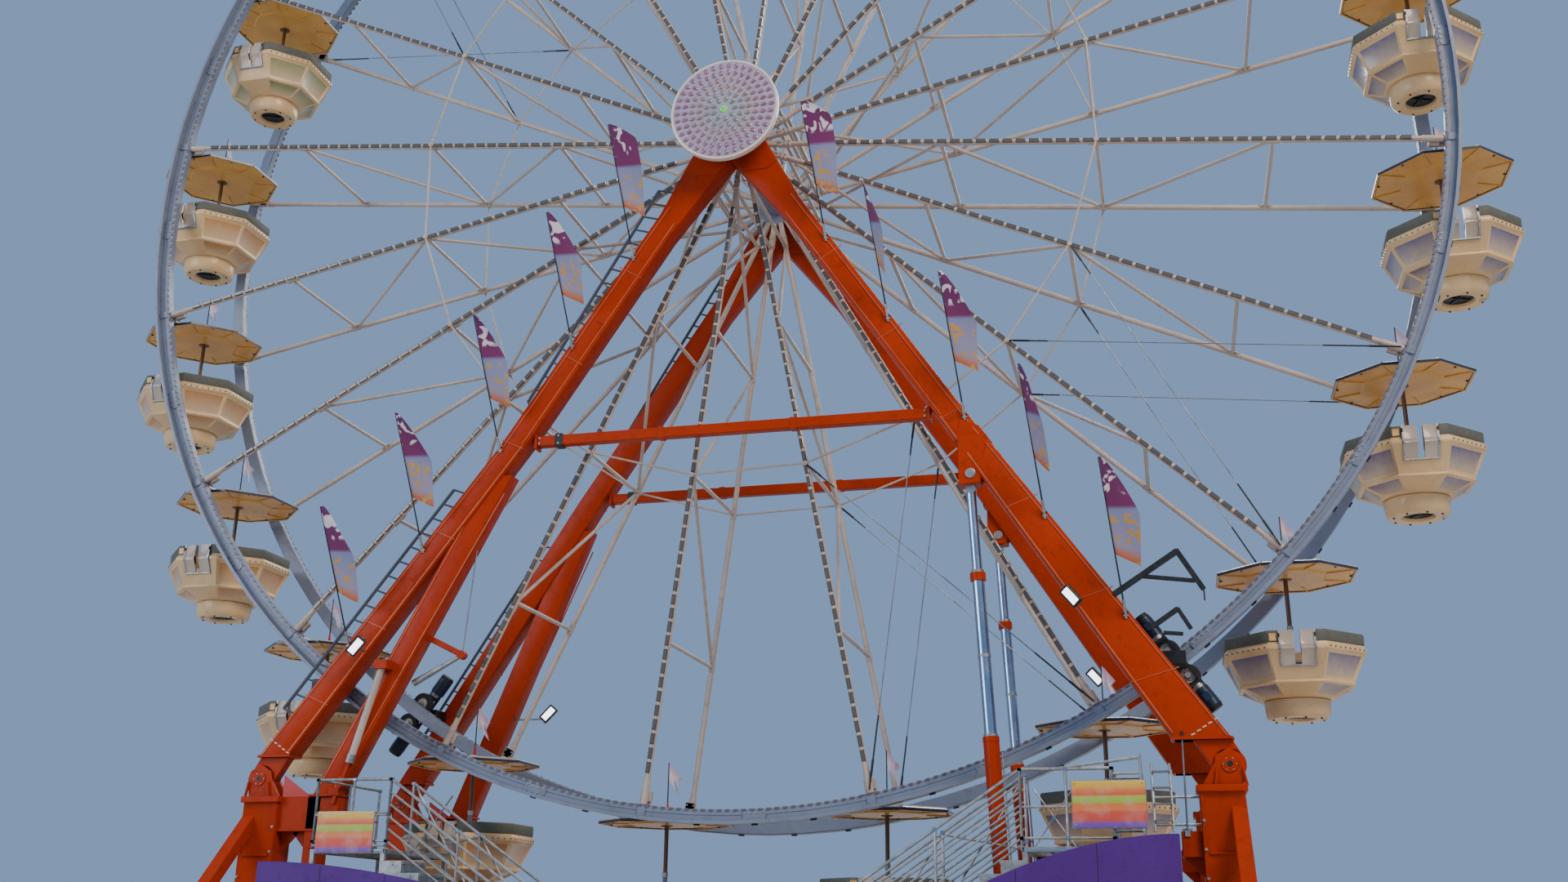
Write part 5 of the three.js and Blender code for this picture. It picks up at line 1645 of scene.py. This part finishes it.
def deckOnPosts(low, high, groundRow, chassisRow, bays):
    # The low deck on a row of posts on the ground and one on the chassis, with crossed tubes in the given bays
    p = platform
    parts = deckPanels(low, high, p["deckTop"], 10)
    for x in p["postsX"]:
        parts += deckPost(x, groundRow, 0, p["deckTop"]) + deckPost(x, chassisRow, p["chassisTop"], p["deckTop"])
    for left, right in bays:
        parts += crossBrace(groundRow, (left, 0.2), (right, 0.2), 0.78, 0.014)
    return parts


def landingSide():
    # Right side: stairs, landing and their guards; the left one is its mirror image
    p = platform
    front, back, tube, low, inner = -p["outer"], -p["landingInner"], p["tube"], p["deckTop"], p["deckHalf"]
    x0, x1, top = p["landingFrom"], p["landingTo"], p["landingTop"]
    posts, rows = (x0 + 0.04, x1 - 0.04), (front + 0.04, back - 0.04)
    railY, railX = front + tube, x1 - tube
    parts = stairFlight((inner, low), (x0, top), p["treads"], front, -p["stairInner"])
    parts += deckPanels((x0, front), (x1, back), top, 4)
    for x in posts:
        for y in rows:
            parts += deckPost(x, y, 0, top)
    for y in (railY, -p["stairInner"] - tube):
        parts += guardRail((inner, y, low), (x0, y, top), 2, sixRails, feet=False)
    parts += guardRail((x0, railY, top), (railX, railY, top), 2)
    parts += guardRail((railX, railY, top), (railX, back - 0.2, top), 2)
    parts += guardRail((inner, railY, low), (p["frontHalf"] + tube, railY, low), 1, sixRails)
    # bracing between the landing's posts, beside the flight and in the landing's guard
    for y in rows:
        parts += crossBrace(y, (posts[0], 0.25), (posts[1], 0.25), 2.3)
        parts += rods(zincSteel, 6, *[((posts[0], y, z), (posts[1], y, z), 0.018) for z in (1.4, 0.3)])
    for x in posts:
        parts += rods(zincSteel, 6, ((x, rows[0], 0.3), (x, rows[1], 2.5), 0.017),
                      ((x, rows[0], 0.32), (x, rows[1], 0.32), 0.018))
    for i in range(2):
        foot, head = ((inner + 1.24 * step, low + 0.825 * step) for step in (i, i + 1))
        parts += crossBrace(-p["stairInner"] + 0.03, foot, head, 1.05)
    parts += crossBrace(rows[1] + 0.01, (x0, top + 0.12), (x0 + 0.62, top + 0.12), 0.88, 0.013)
    # prop under the middle of the flight
    parts.append(rod((3.74, front + 0.04, 0.02), (3.74, front + 0.04, 1.85), 0.024, zincSteel, 8))
    parts.append(block((3.68, front, 0), (3.80, front + 0.08, 0.012), zincSteel, 0.003))
    return smoothBy(joined(parts, "landingSide"))


def centreDeck():
    p = platform
    front, row, half, xs = -p["outer"], legDepth(hingeZ), p["deckHalf"], p["postsX"]
    bays = list(zip(xs, xs[1:]))
    parts = deckOnPosts((-half, front), (half, -p["inner"]), front + 0.04, row, bays)
    steps = stairFlight((front - p["frontRun"], 0), (front, p["deckTop"]), p["frontTreads"], -p["frontHalf"], p["frontHalf"])
    flight = joined(steps, "frontSteps")
    flight.data.transform(turn(90, "Z"))
    parts.append(flight)
    parts += rods(zincSteel, 6, *[((left, row, 0.95), (right, row, 0.95), 0.018) for left, right in bays])
    parts += rods(zincSteel, 6, *[((x, front + 0.04, 0.3), (x, row, 0.9), 0.018) for x in (xs[0], xs[-1])])
    return smoothBy(joined(parts, "centreDeck"))


fairing = {"from": 2.6, "long": 4.55, "foot": 0.12, "front": -3.598, "back": -3.574, "seams": (3.74, 4.88, 6.02)}


def makeFairing(side, low, high, name):
    # Painted sheet with a rolled top edge, butt joints with rivets, and ribs behind
    f = fairing
    start, foot, front, back = f["from"], f["foot"], f["front"], f["back"]
    end = start + f["long"]

    def topAt(x):
        return low + (high - low) * math.sin((x - start) / f["long"] * math.pi / 2)

    def strip(x, half, nearY, farY, lowZ, highZ, material, edge=0.0):
        return block((side * x - half, nearY, lowZ), (side * x + half, farY, highZ), material, edge)

    arc = [(side * x, topAt(x)) for x in (start + f["long"] * i / 30 for i in range(31))]
    rivets = [(side * x + dx, front, 0.2 + 0.3 * i)
              for x in f["seams"] for i in range(int((topAt(x) - 0.2) / 0.3) + 1) for dx in (-0.035, 0.035)]
    parts = [prism(arc + [(side * end, foot), (side * start, foot)], front, back, purplePaint)]
    parts += rods(purplePaint, 6, *[((xa, -3.585, za - 0.006), (xb, -3.585, zb - 0.006), 0.014)
                                    for (xa, za), (xb, zb) in zip(arc, arc[1:])])
    parts += [strip(x, 0.012, -3.60, -3.57, foot, topAt(x), purplePaint, 0.003) for x in (start + 0.01, end - 0.01)]
    parts += [strip(x, 0.006, -3.5995, -3.57, foot + 0.01, topAt(x) - 0.015, blackRubber) for x in f["seams"]]
    parts.append(boltsAt(rivets, 0.008, purplePaint))
    for x in (start + 0.06, *f["seams"], end - 0.07):
        parts.append(strip(x, 0.022, back, -3.49, foot, topAt(x) - 0.05, zincSteel, 0.003))
    for z in (0.16, 0.9):
        parts.append(block((side * 2.62, back, z - 0.02), (side * 7.13, -3.53, z + 0.02), zincSteel, 0.003))
    # tubes that tie the far end to the tower
    parts += rods(zincSteel, 8, *[((side * 7.08, -3.52, z), (side * 7.55, -2.72, z), 0.02) for z in (0.9, 1.9)])
    return smoothBy(joined(parts, name))


rightSide = landingSide()
stairsBoth = joined([centreDeck(), rightSide, copyOf(rightSide, "leftSide", flipX)], "front_platform_steps")
fitOn(stairsBoth, "base", "steel", "front_platform")
for side, low, high, name in ((-1, 1.93, 2.60, "left_fairing"), (1, 1.35, 2.96, "right_fairing")):
    fitOn(makeFairing(side, low, high, name), "base", "steel", "front_platform")
print("front platform made")


# Striped boards, the guard beside the right one and the service steps behind it
noticeY = -3.525


def makeNotice(low, high, boardName):
    # Board in a thin tube frame, held by clamps to the rail behind it
    (x0, z0), (x1, z1) = low, high
    face, frameY = noticeY - 0.012, noticeY + 0.006
    corners = [(x0, z0), (x1, z0), (x1, z1), (x0, z1)]
    parts = [block((x0, face, z0), (x1, noticeY, z1), stripedBoard(boardName, z0, z1), 0.003)]
    for (xa, za), (xb, zb) in zip(corners, corners[1:] + corners[:1]):
        parts.append(bar((xa, frameY, za), (xb, frameY, zb), 0.018, 0.012, zincSteel, 0.002))
    screws = [(x, face, z) for x in (x0 + 0.04, x1 - 0.04) for z in (z0 + 0.04, z1 - 0.04)]
    return [*parts, boltsAt(screws, 0.009, zincSteel)]


rightNotice = makeNotice((5.71, 3.05), (6.73, 3.70), "bandedBoardRight")
rightNotice += rods(
    zincSteel, 8,
    *[((5.7, -3.5, z), (6.72, -3.5, z), 0.017) for z in (3.12, 3.64)],
    ((5.47, -3.477, 3.877), (6.68, -3.50, 4.02), 0.02),
    ((6.68, -3.50, 3.0), (6.68, -3.50, 4.04), 0.02),
    ((6.68, -2.78, 3.0), (6.68, -2.78, 3.86), 0.02),
    *[((6.277, y, z), (6.68, y - 0.02, z), 0.017) for y in (-3.477, -2.78) for z in (3.05, 3.80)],
    *[((x, -2.62, 3.05), (x, -2.32, 4.05), 0.02) for x in (6.82, 7.08)],
    *[((6.80, y, z), (7.48, y, z), 0.018) for y, z in ((-2.59, 3.15), (-2.47, 3.55))],
)
cheekLine = ((-3.53, 2.95), (-2.74, 2.95), (-2.74, 3.72), (-2.86, 3.80), (-3.05, 3.90), (-3.25, 4.0), (-3.40, 4.06),
             (-3.50, 4.08), (-3.53, 4.05))
cheek = shapeFrom([(6.695, y, z) for y, z in cheekLine])
rightNotice.append(paint(finishWith(cheek, "SOLIDIFY", thickness=0.02), zincSteel))
for i in range(4):
    y, z = -2.58 + 0.072 * i, 3.20 + 0.24 * i
    rightNotice.append(block((6.82, y - 0.06, z), (7.08, y + 0.08, z + 0.025), deckMetal, 0.004))
fitOn(smoothBy(joined(rightNotice, "right_notice_and_guard")), "base", "steel", "front_platform")

leftNotice = makeNotice((-6.2, 2.74), (-5.2, 3.37), "bandedBoardLeft")
leftNotice += rods(zincSteel, 8, *[((-6.27, -3.5, z), (-5.0, -3.5, z), 0.017) for z in (2.85, 3.32)])
fitOn(smoothBy(joined(leftNotice, "left_notice")), "base", "steel", "front_platform")
print("notices made")


# Service deck behind the wheel
def rearService():
    p = platform
    half, inner, back, top = p["deckHalf"], p["inner"], p["rearBack"], p["deckTop"]
    railX, railY, xs = -half + p["tube"], back - p["tube"], p["postsX"]
    parts = deckOnPosts((-half, inner), (half, back), inner + 0.04, -legDepth(hingeZ), (xs[:2], xs[2:]))
    parts += stairFlight((3.9, 0), (half, top), 5, 1.9, 2.32)
    parts += guardRail((railX, railY, top), (half, railY, top), 4)
    parts += guardRail((railX, inner + 0.1, top), (railX, railY, top), 1)
    parts += guardRail((half, 2.297, top), (3.877, 2.297, 0.06), 2, feet=False)
    return smoothBy(joined(parts, "rear_platform_deck"))


fitOn(rearService(), "base", "steel", "rear_platform")
print("rear platform made")


# Fittings on the legs: floodlights, service arms, ladder, braces
ladder = {"tube": 0.03, "rung": 0.019, "step": 0.25, "forward": 0.12}


def legLadder(side):
    # Two runs of one rail along the left leg's outer edge, each held off it by its rungs
    def at(z, outward):
        return Vector((-legOuter(z) - outward, side * (ladder["forward"] - legDepth(z)), z))

    parts = []
    for low, lowReach, high, highReach in ((5.2, 0.30, 9.1, 0.30), (10.7, 0.10, 14.7, 0.42)):
        parts.append(rod(at(low, lowReach), at(high, highReach), ladder["tube"], slateSteel, 8))
        count = int((high - low) / ladder["step"])
        for i in range(count + 1):
            z, reach = low + (high - low) * i / count, lowReach + (highReach - lowReach) * i / count
            parts.append(rod(at(z, reach), at(z - 0.1, -0.03), ladder["rung"], slateSteel, 6))
    return parts


# folded black arms outside the right front leg, each bar as (x, z, x, z, width)
serviceArms = (
    (6.43, 6.61, 7.42, 7.25, 0.085), (7.40, 7.27, 7.77, 6.63, 0.075), (6.84, 6.88, 7.65, 6.77, 0.06),
    (6.95, 6.07, 7.37, 6.35, 0.075), (7.36, 6.36, 7.54, 6.03, 0.06), (7.13, 5.99, 7.42, 5.96, 0.055),
)
fittings = {
    "left_front_leg": [
        rod((-5.82, -2.63, 5.87), (-6.23, -2.66, 4.30), 0.062, spokePaint, 16),
        rod((-6.21, -2.66, 4.38), (-6.25, -2.66, 4.24), 0.075, zincSteel, 16),
        bar((-6.23, -2.66, 4.30), (-6.48, -2.68, 3.56), 0.07, 0.06, orangePaint, 0.006),
        block((-5.95, -2.72, 5.80), (-5.70, -2.40, 5.96), orangePaint, 0.01),
        block((-6.56, -2.72, 3.70), (-6.36, -2.50, 3.84), orangePaint, 0.01),
        bar((-5.26, -2.2, 6.42), (-4.54, -2.2, 6.07), 0.10, 0.09, orangePaint, 0.012),
        rod((-4.57, -2.27, 6.08), (-4.57, -2.13, 6.08), 0.075, orangePaint, 16),
        rod((-4.56, -2.2, 6.12), (-4.51, -2.02, 8.26), 0.010, cableSteel, 6),
        rod((-4.62, -2.2, 6.05), (-5.44, -2.2, 5.62), 0.035, zincSteel, 12, 0.06),
        *legLadder(-1),
    ],
    "right_front_leg": [
        *[bar((x0, -2.42, z0), (x1, -2.42, z1), wide, wide, blackPlastic, 0.006) for x0, z0, x1, z1, wide in serviceArms],
        rod((7.77, -2.42, 6.62), (7.77, -2.42, 6.46), 0.012, blackPlastic, 8),
        rod((7.29, -2.62, 4.50), (7.27, -2.62, 3.02), 0.013, cableSteel, 8),
        rod((7.29, -2.66, 4.45), (7.29, -2.56, 4.45), 0.03, blackPlastic, 12),
        block((7.23, -2.66, 2.98), (7.31, -2.56, 3.07), zincSteel, 0.006),
    ],
    "left_rear_leg": [rod((-4.78, 2.25, 5.60), (-5.55, 2.30, 5.60), 0.02, zincSteel, 8), *legLadder(1)],
    "right_rear_leg": [rod((5.89, 2.28, 6.08), (6.2, 2.28, 6.08), 0.02, zincSteel, 8)],
}
lamps = {
    "left_front_leg": ((-6.28, -2.78, 6.19), (0.35, -1, -0.25)),
    "right_front_leg": ((5.80, -2.78, 6.54), (-0.4, -1, -0.25)),
    "left_rear_leg": ((-4.78, 2.15, 5.68), (0.25, -1, 0.1)),
    "right_rear_leg": ((5.89, 2.17, 6.1), (-0.25, -1, -0.3)),
}
for node, parts in fittings.items():
    (x, y, z), aim = lamps[node]
    parts.append(floodlight((x, y, z), aim, math.copysign(50, x)))
    if y < 0:
        # the front lamps stand before the leg on an arm
        parts.append(bar((x, y + 0.05, z - 0.02), (x, y + 0.42, z - 0.02), 0.05, 0.03, zincSteel, 0.004, side=(0, 0, 1)))
    fitOn(smoothBy(joined(parts, node + "_fittings")), "base", "frame_orange")
print("fittings made")


# Floor and soft studio light
studio = {"floor": 400, "keyPower": 22000, "fillPower": 9000, "backPower": 12000, "skyPower": 0.65}


def areaLight(name, place, aimAt, size, power, colour="#ffffff"):
    data = bpy.data.lights.new(name, "AREA")
    data.shape = "DISK"
    data.size = size
    data.energy = power
    data.color = linear(colour)[:3]
    lamp = bpy.data.objects.new(name, data)
    aim = (Vector(aimAt) - Vector(place)).to_track_quat("-Z", "Y")
    lamp.matrix_world = Matrix.Translation(place) @ aim.to_matrix().to_4x4()
    bpy.context.scene.collection.objects.link(lamp)


clearSelection()
bpy.ops.mesh.primitive_plane_add(size=studio["floor"], location=(0, 0, -0.002))
floor = bpy.context.object
floor.name = "studioFloor"
floorMatt = layeredFinish("paleStudioFloor", "#d5cec2", {"tone": {"Scale": 0.2, "Detail": 4.0}},
                          [("tone", 0.0, 1.0, 1.0, "#dcd6cb")], Roughness=0.9)
paint(settle(floor), floorMatt)
world = bpy.data.worlds.new("paleRoom")
world.use_nodes = True
sky = world.node_tree.nodes["Background"]
sky.inputs["Color"].default_value = linear("#9cc0ee")
sky.inputs["Strength"].default_value = studio["skyPower"]
bpy.context.scene.world = world
areaLight("keyLight", (30, -30, 42), (0, 0, 14), 22, studio["keyPower"], "#ffe9cf")
areaLight("fillLight", (-34, -34, 20), (0, 0, 14), 26, studio["fillPower"], "#eef4ff")
areaLight("backLight", (8, 40, 40), (0, 0, 16), 24, studio["backPower"])
print("studio made")
